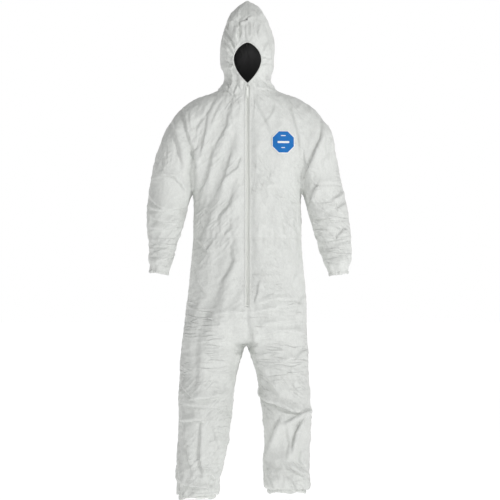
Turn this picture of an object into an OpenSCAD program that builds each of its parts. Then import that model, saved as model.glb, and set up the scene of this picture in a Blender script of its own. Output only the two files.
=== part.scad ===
// Disposable chemical protective coverall, held up as it is worn.
// Origin: centre of the neck seam, where the suit hangs from the wearer. +Z up, the front faces -Y,
// and the wearer's left is +X. Millimetres.
// Each cloth panel is a thin shell, with a small gap along its seams. Where one cut panel crosses the
// shoulder or the hip, it is two nodes, one on each side of the joint.

/* [Suit] */
// Peak of the hood above the neck seam
hood_rise = 337; // [320:1:350]
// Waist seam below the neck seam
waist_drop = 508; // [490:1:530]
// Crotch below the neck seam
crotch_drop = 889; // [870:1:900]
// Half the chest's width below the armpit
chest_half_width = 190; // [180:1:194]
// Thickness of a cloth shell, which stands for layered and creased cloth
cloth_t = 3; // [2:0.5:3]

/* [Zip] */
// Length of the row of teeth
zip_length = 785; // [600:5:800]
// Height of the zip's upper end above the neck seam
zip_top = 37; // [30:1:38]
// Lean of the zip from the vertical, in degrees, so that its lower end is further forward
zip_lean = 3.9; // [3.6:0.1:4.2]
// Half the width of the open channel in front of the zip
channel_half = 9; // [8:0.5:10]
// Spacing of the teeth
tooth_pitch = 4; // [3:0.5:5]

/* [Cuffs] */
// Radius of the wrist opening with its elastic relaxed
wrist_r = 31; // [28:0.5:33]
// Radius of the ankle opening with its elastic relaxed
ankle_r = 62; // [58:0.5:64]
// Width of a wrist hem
wrist_hem = 12; // [10:1:14]
// Width of an ankle hem
ankle_hem = 15; // [12:1:16]

/* [Face opening] */
// Half its width at the widest
face_half = 49; // [44:1:52]
// Its upper end above the neck seam
face_top = 186; // [180:1:190]
// Its widest level above the neck seam
face_mid = 125; // [120:1:130]

/* [Label] */
// Width across the flats of the eight-sided chest label, with its border
label_w = 82; // [70:1:84]
// Width of the label's border
label_border = 3; // [2:0.5:4]

/* [Hidden] */
$fn = 64;

LEFT = 1;
RIGHT = -1;
seam = 0.6;            // how far a panel's side edge stays back from its seam
seam_z = 1.5;          // how far a panel's upper or lower edge stays back from a cross seam
zip_recess = 5;        // from the front of the cloth back to the middle of the zip
zip_y = 78;            // how far the zip's upper end stands in front of the neck's centre
shoulder = [205, 0, -130];   // the left shoulder's pivot; the right one is its mirror image
shoulder_in = 90;      // the fixed cloth stays inside this radius round the shoulder's pivot
shoulder_out = 94;     // the sleeve stays outside this one
armpit = -345;
neck_split = 57;       // the hood's fixed collar ends below this level, its swinging part starts above
hip_gap = 8;           // between the crotch and the upper edge of the swinging leg
ANKLE_Z = [-1401, -1422];    // level of the ankle hems' upper faces, left then right
WRIST_Z = [-628, -624];      // level of the wrist hems' upper faces, left then right
WRIST_LEAN = 8;        // degrees that the forearms lean outward
cloth = [0.93, 0.94, 0.93];
hem_colour = [0.90, 0.91, 0.90];
tape_colour = [0.86, 0.87, 0.85];

// ---- sections -------------------------------------------------------------------------------

// Torso, from the neck to the crotch: level, sideways shift, half width, depth behind, squareness
TORSO = [
    [2, 0, 112, 88, 2.2],
    [-18, 0, 196, 100, 2.2],
    [-54, 0, 246, 108, 2.4],
    [-90, 0, 275, 113, 2.6],
    [-130, 0, 294, 118, 2.8],
    [-225, 0, 292, 124, 2.8],
    [armpit, 0, chest_half_width, 122, 2.4],
    [-430, 0, chest_half_width, 112, 2.3],
    [-waist_drop, 0, chest_half_width + 1, 104, 2.3],
    [-600, 0, 202, 112, 2.3],
    [-745, 0, 218, 126, 2.5],
    [-820, -8, 224, 124, 3.2],
    [-crotch_drop, -10, 231, 114, 4.0]
];
// How deep the torso is in front: it follows the zip, then turns in to the crotch
FRONT_LOW = [
    [zip_top - zip_length, front_on_zip(zip_top - zip_length)],
    [-815, 132],
    [-crotch_drop, 116]
];
// Hood: level, half width, depth in front, depth behind
HOOD = [
    [0, 112, 87, 88],
    [25, 98, 85.5, 86],
    [54, 85, 83, 91],
    [89, 87, 84, 100],
    [125, 89, 87, 108],
    [161, 93, 89, 113],
    [196, 94, 87, 112],
    [232, 86, 78, 104],
    [268, 75, 64, 89],
    [303, 55, 44, 64],
    [325, 30, 24, 34],
    [hood_rise, 6, 6, 8]
];
// Sleeves: level, distance out, forward shift, half width, half depth, squareness
SLEEVE_LEFT = [
    [-140, 240, 0, 58, 82, 3.0],
    [-196, 246, 0, 70, 83, 3.0],
    [-268, 263, 0, 66, 82, 2.6],
    [armpit, 275, 0, 72, 79, 2.3],
    [-411, 287, 3, 71, 75, 2.2],
    [-482, 302, 8, 67, 69, 2.1],
    [-553, 314, 16, 56, 60, 2.1],
    [-600, 322, 22, 49, 51, 2.0],
    [-630, 322, 24, 38, 38, 2.0]
];
SLEEVE_RIGHT = [
    [-140, 240, 0, 59, 82, 3.0],
    [-196, 247, 0, 75, 83, 3.0],
    [-268, 268, 0, 74, 82, 2.6],
    [armpit, 279, 0, 78, 79, 2.3],
    [-411, 290, 3, 71, 74, 2.2],
    [-482, 296, 8, 59, 64, 2.1],
    [-553, 303, 16, 46, 53, 2.1],
    [-600, 311, 22, 41, 44, 2.0],
    [-626, 314, 24, 37, 37, 2.0]
];
// Legs: the same columns
LEG_LEFT = [
    [-890, 120, 0, 92, 97, 2.3],
    [-960, 122, 0, 97, 97, 2.3],
    [-1089, 132, 4, 95, 95, 2.2],
    [-1160, 139, 8, 86, 90, 2.2],
    [-1232, 144, 4, 82, 86, 2.2],
    [-1303, 141, 0, 83, 84, 2.1],
    [-1360, 142, -2, 86, 84, 2.1],
    [-1401, 139, -2, 73, 73, 2.0]
];
LEG_RIGHT = [
    [-890, 134, 0, 100, 97, 2.3],
    [-960, 138, 0, 106, 98, 2.3],
    [-1089, 150, 4, 101, 96, 2.2],
    [-1160, 152, 8, 96, 93, 2.2],
    [-1232, 157, 4, 91, 88, 2.2],
    [-1303, 168, 0, 87, 86, 2.1],
    [-1374, 176, -2, 78, 82, 2.1],
    [-1422, 180, -2, 73, 73, 2.0]
];
// The raglan seam seen from the front: level, distance out
RAGLAN = [[2, 104], [-54, 134], [-121, 178], [-180, 192], [-250, 194], [armpit, chest_half_width]];

// ---- curves and shells ----------------------------------------------------------------------

// The row of a table with falling (or rising) first column that comes before x.
function before(table, x, i = 0) =
    i >= len(table) - 2 || (table[i + 1][0] - x) * (table[i + 1][0] - table[i][0]) > 0
        ? i : before(table, x, i + 1);
function slope(table, i) =
    let (a = table[max(i - 1, 0)], b = table[min(i + 1, len(table) - 1)]) (b - a) / (b[0] - a[0]);
// A smooth curve through a table's rows, read at x of its first column.
function at(table, x) =
    let (i = before(table, x), p = table[i], q = table[i + 1], h = q[0] - p[0],
         t = min(1, max(0, (x - p[0]) / h)), t2 = t * t, t3 = t2 * t)
    p * (2 * t3 - 3 * t2 + 1) + slope(table, i) * (h * (t3 - 2 * t2 + t))
    + q * (3 * t2 - 2 * t3) + slope(table, i + 1) * (h * (t3 - t2));

function signed_pow(v, k) = sign(v) * pow(abs(v), k);
// A point on a rounded section: turn 0 is the front, 90 the side and 180 the back.
function on_ring(turn, half_w, front, back, n) = [
    half_w * signed_pow(sin(turn), 2 / n),
    -(cos(turn) > 0 ? front : back) * signed_pow(cos(turn), 2 / n)
];
// The turn at which a section of that half width is x out from its centre.
function turn_at(x, half_w, n) = asin(signed_pow(max(-1, min(1, x / half_w)), n / 2));
// How far a section that deep turns from its side before it is one seam's width forward.
function seam_turn(deep, n) = asin(pow(seam / deep, n / 2));

function mix(a, b, t) = a + (b - a) * t;
function unit(v) = v / max(norm(v), 0.000001);
// The direction into the cloth at one point of a grid.
function inward(g, j, i) =
    let (du = g[j][min(i + 1, len(g[0]) - 1)] - g[j][max(i - 1, 0)],
         dv = g[min(j + 1, len(g) - 1)][i] - g[max(j - 1, 0)][i])
    unit(cross(du, dv));
function flat(rows) = [for (row = rows) for (p = row) p];
function split_quads(quads) = [for (q = quads) each [[q[0], q[1], q[2]], [q[0], q[2], q[3]]]];

// A closed shell of thickness t under a grid of points, whose rows run down and columns run
// from the front to the back of the left side. thin(row) scales the thickness of each row.
module shell(g, t = cloth_t, thin = []) {
    rows = len(g);
    cols = len(g[0]);
    k = rows * cols;
    inner = [for (j = [0:rows - 1]) [for (i = [0:cols - 1])
        g[j][i] + inward(g, j, i) * t * (thin == [] ? 1 : thin[j])]];
    function id(j, i) = j * cols + i;
    quads = concat(
        [for (j = [0:rows - 2]) for (i = [0:cols - 2]) each [
            [id(j, i), id(j, i + 1), id(j + 1, i + 1), id(j + 1, i)],
            [k + id(j + 1, i), k + id(j + 1, i + 1), k + id(j, i + 1), k + id(j, i)]
        ]],
        [for (i = [0:cols - 2]) each [
            [id(0, i), k + id(0, i), k + id(0, i + 1), id(0, i + 1)],
            [id(rows - 1, i), id(rows - 1, i + 1), k + id(rows - 1, i + 1), k + id(rows - 1, i)]
        ]],
        [for (j = [0:rows - 2]) each [
            [id(j, 0), id(j + 1, 0), k + id(j + 1, 0), k + id(j, 0)],
            [id(j, cols - 1), k + id(j, cols - 1), k + id(j + 1, cols - 1), id(j + 1, cols - 1)]
        ]]
    );
    polyhedron(concat(flat(g), flat(inner)), split_quads(quads), convexity = 6);
}

// Draws the left side as it is and the right side as its mirror image.
module sided(side) {
    if (side == RIGHT) mirror([1, 0, 0]) children();
    else children();
}

// ---- torso ----------------------------------------------------------------------------------

function front_on_zip(z) = zip_y + zip_recess + (zip_top - z) * tan(zip_lean);
function front_depth(z) = z > FRONT_LOW[0][0] ? front_on_zip(z) : at(FRONT_LOW, z)[1];
function torso_point(z, turn, side) =
    let (r = at(TORSO, z), p = on_ring(turn, r[2], front_depth(z), r[3], r[4]))
    [side * r[1] + p[0], p[1], z];
function torso_turn(z, x) = let (r = at(TORSO, z)) turn_at(x, r[2], r[4]);
// Where the front panel meets the sleeve above the armpit and the side seam below it.
function raglan_turn(z) = z > armpit ? min(90, torso_turn(z, at(RAGLAN, z)[1])) : 90;
function side_gap(z) = let (r = at(TORSO, z)) seam_turn(r[3], r[4]);
// How far a panel's edge turns back from that seam.
function raglan_gap(z) = z > armpit ? 75 / at(TORSO, z)[2] : side_gap(z);
// The same seam on the back panel, and the turn of the seam down the middle of the back.
function back_turn(z) = 180 - raglan_turn(z);
function spine_turn(z) = 180 - torso_turn(z, seam);
function channel_turn(z) = torso_turn(z, channel_half);

// A patch of the torso between two levels. from and to are lists of one turn for each row.
module torso_patch(side, levels, from, to, cols) {
    sided(side) shell([for (j = [0:len(levels) - 1]) [for (i = [0:cols])
        torso_point(levels[j], mix(from[j], to[j], i / cols), side)]]);
}
function levels(top, bottom, rows) = [for (j = [0:rows]) mix(top, bottom, j / rows)];
BODICE_LEVELS = concat([-seam_z, -5, -10, -18, -30], levels(-46, -waist_drop + seam_z, 12));
// The channel keeps its width down to the zip's end, then closes in a short V.
channel_end = zip_top - (zip_length + 10) * cos(zip_lean);
TROUSER_LEVELS = concat(levels(-waist_drop - seam_z, channel_end, 8),
                        levels(channel_end - 18, -crotch_drop, 4));

module bodice_front(side) {
    z = BODICE_LEVELS;
    color(cloth) torso_patch(side, z, [for (v = z) channel_turn(v)],
                             [for (v = z) raglan_turn(v) - raglan_gap(v)], 8);
}
module bodice_back(side) {
    z = BODICE_LEVELS;
    color(cloth) torso_patch(side, z, [for (v = z) back_turn(v) + raglan_gap(v)],
                             [for (v = z) spine_turn(v)], 8);
}

// The turn at which the fixed shoulder cloth ends: over the shoulder above the pivot, and on
// a circle round the pivot below it.
function shoulder_end(z) =
    z > shoulder[2] ? 90 - side_gap(z)
    : torso_turn(z, shoulder[0] + sqrt(pow(shoulder_in, 2) - pow(z - shoulder[2], 2)));
SHOULDER_LEVELS = concat([-seam_z, -5, -10, -18, -30], levels(-46, shoulder[2] - shoulder_in + 4, 9));
module raglan_front(side) {
    z = SHOULDER_LEVELS;
    color(cloth) torso_patch(side, z, [for (v = z) raglan_turn(v) + raglan_gap(v)],
                             [for (v = z) shoulder_end(v)], 6);
}
module raglan_back(side) {
    z = SHOULDER_LEVELS;
    color(cloth) torso_patch(side, z, [for (v = z) 180 - shoulder_end(v)],
                             [for (v = z) back_turn(v) - raglan_gap(v)], 6);
}

function fly_turn(z) = torso_turn(z, z > channel_end - 1 ? channel_half : seam);
module trouser_front(side) {
    z = TROUSER_LEVELS;
    color(cloth) torso_patch(side, z, [for (v = z) fly_turn(v)], [for (v = z) 90 - side_gap(v)], 10);
}
module trouser_back(side) {
    z = TROUSER_LEVELS;
    color(cloth) torso_patch(side, z, [for (v = z) 90 + side_gap(v)], [for (v = z) spine_turn(v)], 10);
}
// The piece that closes the crotch between the two leg openings.
module crotch_gusset() {
    r = at(TORSO, -crotch_drop);
    front = front_depth(-crotch_drop) - cloth_t - 1;
    back = r[3] - cloth_t - 1;
    function sag(t) = -crotch_drop - 9 * (1 - pow(2 * t - 1, 2));
    color(cloth) translate([-26, 0, 0]) rotate([90, 0, 90]) linear_extrude(44) polygon(concat(
        [for (i = [0:12]) [mix(-front, back, i / 12), sag(i / 12)]],
        [for (i = [12:-1:0]) [mix(-front, back, i / 12), sag(i / 12) + cloth_t]]));
}

// A band inside the torso's back and sides, inset from the outer face of the cloth.
module inner_band(top, bottom, inset, t, from, to, cols) {
    shell([for (z = [top, (top + bottom) / 2, bottom]) [for (i = [0:cols])
        let (r = at(TORSO, z), p = on_ring(mix(from, to, i / cols), r[2] - inset,
                                           front_depth(z) - inset, r[3] - inset, r[4]))
        [r[1] + p[0], p[1], z]]], t);
}
module waist_elastic() {
    color("white") inner_band(-waist_drop + 8, -waist_drop - 8, cloth_t + 1.2, 1.2, 62, 298, 32);
}
module waist_tunnel() {
    color(hem_colour)
        inner_band(-waist_drop + 13, -waist_drop - 13, cloth_t + 3.4, 0.8, 58, 302, 32);
}
module size_label() {
    color("white") translate([-20, at(TORSO, -40)[3] - 13, -64]) cube([40, 0.8, 45]);
}

// ---- hood -----------------------------------------------------------------------------------

HOOD_N = 2.1;
face_bottom = zip_top + 4;
// Half the width of the face opening at a level, or 0 outside it.
function face_width(z, clear = 0) =
    z >= face_top + clear || z <= face_bottom ? 0
    : z > face_mid ? (face_half + clear) * sqrt(1 - pow((z - face_mid) / (face_top + clear - face_mid), 2))
    : clear + face_half * (1 - pow((face_mid - z) / (face_mid - face_bottom), 1.6));
function hood_point(z, turn, inset = 0) =
    let (r = at(HOOD, z), p = on_ring(turn, r[1] - inset, r[2] - inset, r[3] - inset, HOOD_N))
    [p[0], p[1], z];
function face_turn(z, clear) =
    face_width(z, clear) > 0 ? turn_at(face_width(z, clear), at(HOOD, z)[1], HOOD_N) : 0;

function hood_seam(z) = turn_at(seam, at(HOOD, z)[1], HOOD_N);

HEM_R = 3.4;           // half the thickness of the hem round the face
module hood_panel(side) {
    z = concat(levels(hood_rise, 300, 5), levels(286, 206, 6),
               [for (d = [0, 1, 3, 7, 14, 24]) face_top + HEM_R + 3 - d], levels(152, neck_split + seam_z, 7));
    g = [for (v = z) let (edge = max(face_turn(v, HEM_R + 3), hood_seam(v)))
         [for (i = [0:14]) hood_point(v, mix(edge, 180 - hood_seam(v), i / 14))]];
    color(cloth) sided(side) shell(g, thin = [for (v = z) min(1, at(HOOD, v)[1] / 24)]);
}
module hood_neck(side) {
    z = levels(neck_split - seam_z, 4, 5);
    g = [for (v = z) let (edge = max(face_turn(v, HEM_R + 5), turn_at(channel_half, at(HOOD, v)[1], HOOD_N)))
         [for (i = [0:14]) hood_point(v, mix(edge, 180 - hood_seam(v), i / 14))]];
    color(cloth) sided(side) shell(g);
}
// A tape that covers the neck seam on the inside.
module neck_binding() {
    color(hem_colour) shell([for (z = [11, 5, -1]) [for (i = [0:32])
        hood_point(max(z, 0), mix(15, 345, i / 32), cloth_t + 1.6) + [0, 0, min(z, 0)]]], 1);
}
module hood_liner() {
    z = levels(300, neck_split + 9, 14);
    g = [for (v = z) let (edge = max(8, face_turn(v, HEM_R + 6)))
         [for (i = [0:28]) hood_point(v, mix(edge, 360 - edge, i / 28), cloth_t + 3)]];
    color([0.06, 0.06, 0.065]) shell(g, 1.2);
}

// The hem's line round the face opening, from its lowest point up the left side and back.
FACE_STEPS = 44;
function face_line(k) =
    let (s = k / FACE_STEPS, up = (1 - cos(360 * s)) / 2, z = mix(face_bottom + 4, face_top, up),
         x = sign(sin(360 * s)) * face_width(z - 0.001), r = at(HOOD, z),
         turn = turn_at(x, r[1], HOOD_N))
    [x, on_ring(turn, r[1], r[2], r[3], HOOD_N)[1], z];
FACE_LINE = [for (k = [0:FACE_STEPS - 1]) face_line(k)];
// A closed loop of one outline swept round a closed line. The outline's first axis points
// away from the wearer and its second one out of the opening.
module loop_sweep(line, outline) {
    n = len(line);
    m = len(outline);
    rings = [for (k = [0:n - 1])
        let (along = unit(line[(k + 1) % n] - line[(k + n - 1) % n]),
             out = unit(cross(along, cross([0, -1, 0], along))), side = cross(along, out))
        [for (p = outline) line[k] + out * p[0] - side * p[1]]];
    quads = [for (k = [0:n - 1]) for (i = [0:m - 1])
        [k * m + i, k * m + (i + 1) % m, ((k + 1) % n) * m + (i + 1) % m, ((k + 1) % n) * m + i]];
    polyhedron(flat(rings), split_quads(quads), convexity = 6);
}
// A hem folded round its elastic: a ring with a slot on its outer side.
HEM_FOLD = concat([for (a = [30:37.5:330]) HEM_R * [sin(a), cos(a)]],
                  [for (a = [330:-37.5:30]) (HEM_R - 1) * [sin(a), cos(a)]]);
module face_hem() { color(hem_colour) loop_sweep(FACE_LINE, HEM_FOLD); }
module face_elastic() {
    color("white") loop_sweep(FACE_LINE, [for (a = [0:60:300]) 1.6 * [sin(a), cos(a)]]);
}

// ---- sleeves and legs -----------------------------------------------------------------------

// A limb's lower end tilts by lean degrees, so that it meets its hem square.
function limb_point(table, z, turn, lean) =
    let (r = at(table, z), p = on_ring(turn, r[3], r[4], r[4], r[5]), low = table[len(table) - 1][0])
    [r[1] + p[0], p[1] - r[2], z + p[0] * tan(lean) * max(0, 1 - (z - low) / 110)];
function limb_gap(table, z) = let (r = at(table, z)) seam_turn(r[4], r[5]);
module limb_patch(side, table, z, from, to, cols, lean = 0) {
    sided(side) shell([for (j = [0:len(z) - 1]) [for (i = [0:cols])
        limb_point(table, z[j], mix(from[j], to[j], i / cols), lean)]]);
}
function sleeve_table(side) = side == LEFT ? SLEEVE_LEFT : SLEEVE_RIGHT;
// The turn at which a sleeve starts on its inner side: on a circle round the shoulder's pivot,
// then beside the open armhole, then at the underarm seam.
function sleeve_start(side, z) =
    let (r = at(sleeve_table(side), z), drop = shoulder[2] - z,
         x = drop < shoulder_out ? shoulder[0] + sqrt(pow(shoulder_out, 2) - pow(drop, 2))
                                 : shoulder[0] + 2)
    z < armpit - 2 ? -90 + seam_turn(r[4], r[5]) : turn_at(x - r[1], r[3], r[5]);
function sleeve_levels(side) = concat(levels(-158, shoulder[2] - shoulder_out - 2, 5),
                                      levels(-245, WRIST_Z[side == LEFT ? 0 : 1] + 4, 12));
module sleeve_front(side) {
    z = sleeve_levels(side);
    t = sleeve_table(side);
    color(cloth) limb_patch(side, t, z, [for (v = z) sleeve_start(side, v)],
                            [for (v = z) 90 - limb_gap(t, v)], 8, WRIST_LEAN);
}
module sleeve_back(side) {
    z = sleeve_levels(side);
    t = sleeve_table(side);
    color(cloth) limb_patch(side, t, z, [for (v = z) 90 + limb_gap(t, v)],
                            [for (v = z) 180 - sleeve_start(side, v)], 8, WRIST_LEAN);
}
function leg_table(side) = side == LEFT ? LEG_LEFT : LEG_RIGHT;
function leg_levels(side) = levels(-crotch_drop - hip_gap, ANKLE_Z[side == LEFT ? 0 : 1] + 2, 15);
module leg_front(side) {
    z = leg_levels(side);
    t = leg_table(side);
    color(cloth) limb_patch(side, t, z, [for (v = z) -90 + limb_gap(t, v)],
                            [for (v = z) 90 - limb_gap(t, v)], 12);
}
module leg_back(side) {
    z = leg_levels(side);
    t = leg_table(side);
    color(cloth) limb_patch(side, t, z, [for (v = z) 90 + limb_gap(t, v)],
                            [for (v = z) 270 - limb_gap(t, v)], 12);
}

// A cuff's hem: cloth folded into a ring round its elastic, open on its outer side.
module cuff_hem(r, width) {
    wall = 1.6;
    color(hem_colour) rotate_extrude() {
        translate([r, -width]) square([wall, width]);
        translate([r, -width]) square([2 * wall + 2.4, wall]);
        translate([r, -wall]) square([2 * wall + 2.4, wall]);
        translate([r + wall + 2.4, -width]) square([wall, 0.3 * width]);
        translate([r + wall + 2.4, -0.3 * width]) square([wall, 0.3 * width]);
    }
}
module cuff_elastic(r, width) {
    color("white") rotate_extrude()
        translate([r + 2.2, -width + 2.6]) square([1.2, width - 5.2]);
}
module at_wrist(side) {
    k = side == LEFT ? 0 : 1;
    r = at(sleeve_table(side), WRIST_Z[k]);
    translate([side * r[1], -r[2], WRIST_Z[k]]) rotate([0, -side * WRIST_LEAN, 0]) children();
}
module at_ankle(side) {
    k = side == LEFT ? 0 : 1;
    r = at(leg_table(side), ANKLE_Z[k]);
    translate([side * r[1], -r[2], ANKLE_Z[k]]) children();
}

// ---- zip ------------------------------------------------------------------------------------

TAPE_T = 0.8;
TAPE_X = 3.0;          // from the middle of the zip out to the edge of each tape
TOOTH_T = 2.6;
GAP_HALF = 0.6;        // half the gap between the two rows of teeth, where the slider's web runs
TOOTH_W = 3.2;
SLIDER_W = 11;
SLIDER_H = 15;
PLATE_T = 1.4;
PLATE_GAP = 1.8;       // from the middle of the zip to each of the slider's plates
PIN_R = 1.0;
PIN_CLEARANCE = 0.06;
PIN_Y = -PLATE_GAP - PLATE_T - 2.6;
PULL_L = 34;
slider_top = -7;       // the slider's upper end, below the zip's upper end

// The zip's own frame: z runs up the zip from its upper end, and -y points out of the cloth.
module on_zip() { translate([0, -zip_y, zip_top]) rotate([-zip_lean, 0, 0]) children(); }

module zip_tape(side) {
    color(tape_colour) on_zip() sided(side) translate([TAPE_X, -TAPE_T / 2, -zip_length - 6])
        cube([13.4, TAPE_T, zip_length + 6]);
}
// One continuous strand of teeth, whose outer edge grips the edge of the tape.
module zip_teeth(side) {
    count = floor((zip_length - 16) / tooth_pitch);
    start = side == LEFT ? -7 : -7 - tooth_pitch / 2;
    back = GAP_HALF + TOOTH_W;
    root = back - 1.2;
    color("white") on_zip() sided(side) difference() {
        translate([0, TOOTH_T / 2, 0]) rotate([90, 0, 0]) linear_extrude(TOOTH_T) polygon(concat(
            [[back, start - count * tooth_pitch], [back, start]],
            [for (k = [0:count - 1]) let (z = start - k * tooth_pitch) each [
                [root, z], [GAP_HALF, z - 0.2], [GAP_HALF, z - 0.5 * tooth_pitch + 0.2],
                [root, z - 0.5 * tooth_pitch]]]));
        translate([TAPE_X - 0.1, -TAPE_T / 2 - 0.1, -zip_length])
            cube([4, TAPE_T + 0.2, zip_length]);
    }
}
module zip_top_stops() {
    color("white") on_zip() for (side = [LEFT, RIGHT]) sided(side) difference() {
        translate([GAP_HALF, -1.5, -5]) cube([3.6, 3, 4]);
        translate([TAPE_X - 0.1, -TAPE_T / 2 - 0.1, -6]) cube([4, TAPE_T + 0.2, 6]);
    }
}
module zip_bottom_stop() {
    color("white") on_zip() translate([0, 0, -zip_length + 1]) difference() {
        translate([-4.4, -1.7, -5]) cube([8.8, 3.4, 5]);
        for (side = [LEFT, RIGHT]) sided(side)
            translate([TAPE_X - 0.1, -TAPE_T / 2 - 0.1, -6]) cube([4, TAPE_T + 0.2, 7]);
    }
}
// Two plates joined by a thin web, with a pair of lugs and a pin for the pull tab.
module slider_plate() {
    rotate([90, 0, 0]) linear_extrude(PLATE_T) polygon([
        [-SLIDER_W / 2, -2], [-SLIDER_W / 2 + 2, 0], [SLIDER_W / 2 - 2, 0], [SLIDER_W / 2, -2],
        [SLIDER_W / 2 - 1.5, -SLIDER_H], [-SLIDER_W / 2 + 1.5, -SLIDER_H]
    ]);
}
module zip_slider() {
    color([0.88, 0.88, 0.87]) on_zip() translate([0, 0, slider_top]) {
        translate([0, -PLATE_GAP, 0]) slider_plate();
        translate([0, PLATE_GAP + PLATE_T, 0]) slider_plate();
        translate([-0.3, -PLATE_GAP - 0.1, -SLIDER_H + 1])
            cube([0.6, 2 * PLATE_GAP + 0.2, SLIDER_H - 2]);
        for (x = [-4.4, 2.8]) translate([x, PIN_Y - 1.6, -8.6])
            cube([1.6, -PLATE_GAP - PLATE_T - PIN_Y + 1.8, 3.2]);
        translate([-3.4, PIN_Y, -7]) rotate([0, 90, 0]) cylinder(r = PIN_R, h = 6.8, $fn = 32);
    }
}
// A flat tab that hangs from the slider's pin by its eye, with a grip hole near its lower end.
module pull_tab() {
    color([0.88, 0.88, 0.87]) on_zip() translate([0, PIN_Y, slider_top - 7]) {
        difference() {
            union() {
                translate([-2.5, 0, 0]) rotate([0, 90, 0]) cylinder(r = 2.1, h = 5, $fn = 32);
                translate([-2.5, -0.8, -8]) cube([5, 1.6, 8]);
                translate([-4, -0.8, -PULL_L + 4]) cube([8, 1.6, PULL_L - 11]);
                translate([0, 0.8, -PULL_L + 4]) rotate([90, 0, 0]) cylinder(r = 4, h = 1.6, $fn = 32);
            }
            translate([-3, 0, 0]) rotate([0, 90, 0])
                cylinder(r = PIN_R + PIN_CLEARANCE, h = 6, $fn = 32);
            translate([0, 2, -PULL_L + 5]) rotate([90, 0, 0]) cylinder(r = 1.8, h = 4, $fn = 32);
        }
    }
}

// ---- label ----------------------------------------------------------------------------------

label_x = 127;
label_z = -168;
label_yaw = 5;         // how far the chest turns the label to the wearer's left, in degrees
module at_label() {
    p = torso_point(label_z, torso_turn(label_z, label_x), LEFT);
    translate([p[0], p[1] - 1.8, p[2]]) rotate([-zip_lean, 0, label_yaw]) rotate([90, 0, 0]) children();
}
// An eight-sided plate with flats at its top, bottom and sides.
module octagon(across, t) {
    rotate([0, 0, 22.5]) cylinder(d = across / cos(22.5), h = t, $fn = 8);
}
module label_border_patch() {
    color("white") at_label() difference() {
        octagon(label_w, 0.8);
        translate([0, 0, 0.4]) octagon(label_w - 2 * label_border, 1);
    }
}
module label_face() {
    color([0.16, 0.45, 0.74]) at_label() translate([0, 0, 0.45])
        octagon(label_w - 2 * label_border - 0.4, 0.5);
}

// ---- nodes ----------------------------------------------------------------------------------

bodice_front(LEFT);  // bodice_front_left
bodice_front(RIGHT);  // bodice_front_right
bodice_back(LEFT);  // bodice_back_left
bodice_back(RIGHT);  // bodice_back_right
raglan_front(LEFT);  // raglan_front_left
raglan_front(RIGHT);  // raglan_front_right
raglan_back(LEFT);  // raglan_back_left
raglan_back(RIGHT);  // raglan_back_right
trouser_front(LEFT);  // trouser_front_left
trouser_front(RIGHT);  // trouser_front_right
trouser_back(LEFT);  // trouser_back_left
trouser_back(RIGHT);  // trouser_back_right
crotch_gusset();
hood_neck(LEFT);  // hood_neck_left
hood_neck(RIGHT);  // hood_neck_right
neck_binding();
waist_elastic();
waist_tunnel();
zip_tape(LEFT);  // zip_tape_left
zip_tape(RIGHT);  // zip_tape_right
zip_teeth(LEFT);  // zip_teeth_left
zip_teeth(RIGHT);  // zip_teeth_right
zip_top_stops();
zip_bottom_stop();
zip_slider();
pull_tab();
label_border_patch();
label_face();
size_label();
hood_panel(LEFT);  // hood_panel_left
hood_panel(RIGHT);  // hood_panel_right
hood_liner();
face_hem();
face_elastic();
sleeve_front(LEFT);  // sleeve_front_left
sleeve_front(RIGHT);  // sleeve_front_right
sleeve_back(LEFT);  // sleeve_back_left
sleeve_back(RIGHT);  // sleeve_back_right
at_wrist(LEFT) cuff_hem(wrist_r, wrist_hem);  // wrist_hem_left
at_wrist(RIGHT) cuff_hem(wrist_r, wrist_hem);  // wrist_hem_right
at_wrist(LEFT) cuff_elastic(wrist_r, wrist_hem);  // wrist_elastic_left
at_wrist(RIGHT) cuff_elastic(wrist_r, wrist_hem);  // wrist_elastic_right
leg_front(LEFT);  // leg_front_left
leg_front(RIGHT);  // leg_front_right
leg_back(LEFT);  // leg_back_left
leg_back(RIGHT);  // leg_back_right
at_ankle(LEFT) cuff_hem(ankle_r, ankle_hem);  // ankle_hem_left
at_ankle(RIGHT) cuff_hem(ankle_r, ankle_hem);  // ankle_hem_right
at_ankle(LEFT) cuff_elastic(ankle_r, ankle_hem);  // ankle_elastic_left
at_ankle(RIGHT) cuff_elastic(ankle_r, ankle_hem);  // ankle_elastic_right
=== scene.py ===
"""A hooded protective suit, worn: nonwoven cloth over a rough form of its wearer, draped by simulation."""

import math

import bmesh
import bpy
import numpy as np
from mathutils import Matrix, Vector, noise
from mathutils.bvhtree import BVHTree


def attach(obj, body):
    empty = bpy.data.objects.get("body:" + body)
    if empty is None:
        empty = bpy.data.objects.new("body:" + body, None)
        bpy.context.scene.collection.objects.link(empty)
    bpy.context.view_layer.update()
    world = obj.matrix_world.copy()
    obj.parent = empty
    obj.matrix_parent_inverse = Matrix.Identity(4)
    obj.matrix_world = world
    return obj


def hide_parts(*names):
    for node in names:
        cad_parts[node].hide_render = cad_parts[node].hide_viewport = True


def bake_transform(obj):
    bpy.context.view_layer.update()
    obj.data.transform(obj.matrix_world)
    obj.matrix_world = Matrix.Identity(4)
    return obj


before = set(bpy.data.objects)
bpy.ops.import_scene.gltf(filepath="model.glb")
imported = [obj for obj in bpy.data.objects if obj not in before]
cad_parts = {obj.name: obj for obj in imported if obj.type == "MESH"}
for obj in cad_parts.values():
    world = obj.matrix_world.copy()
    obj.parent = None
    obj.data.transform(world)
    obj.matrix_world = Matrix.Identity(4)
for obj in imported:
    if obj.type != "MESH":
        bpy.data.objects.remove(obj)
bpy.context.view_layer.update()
scene = bpy.context.scene
collection = scene.collection

# ---- levels and sections, in millimetres ----

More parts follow.
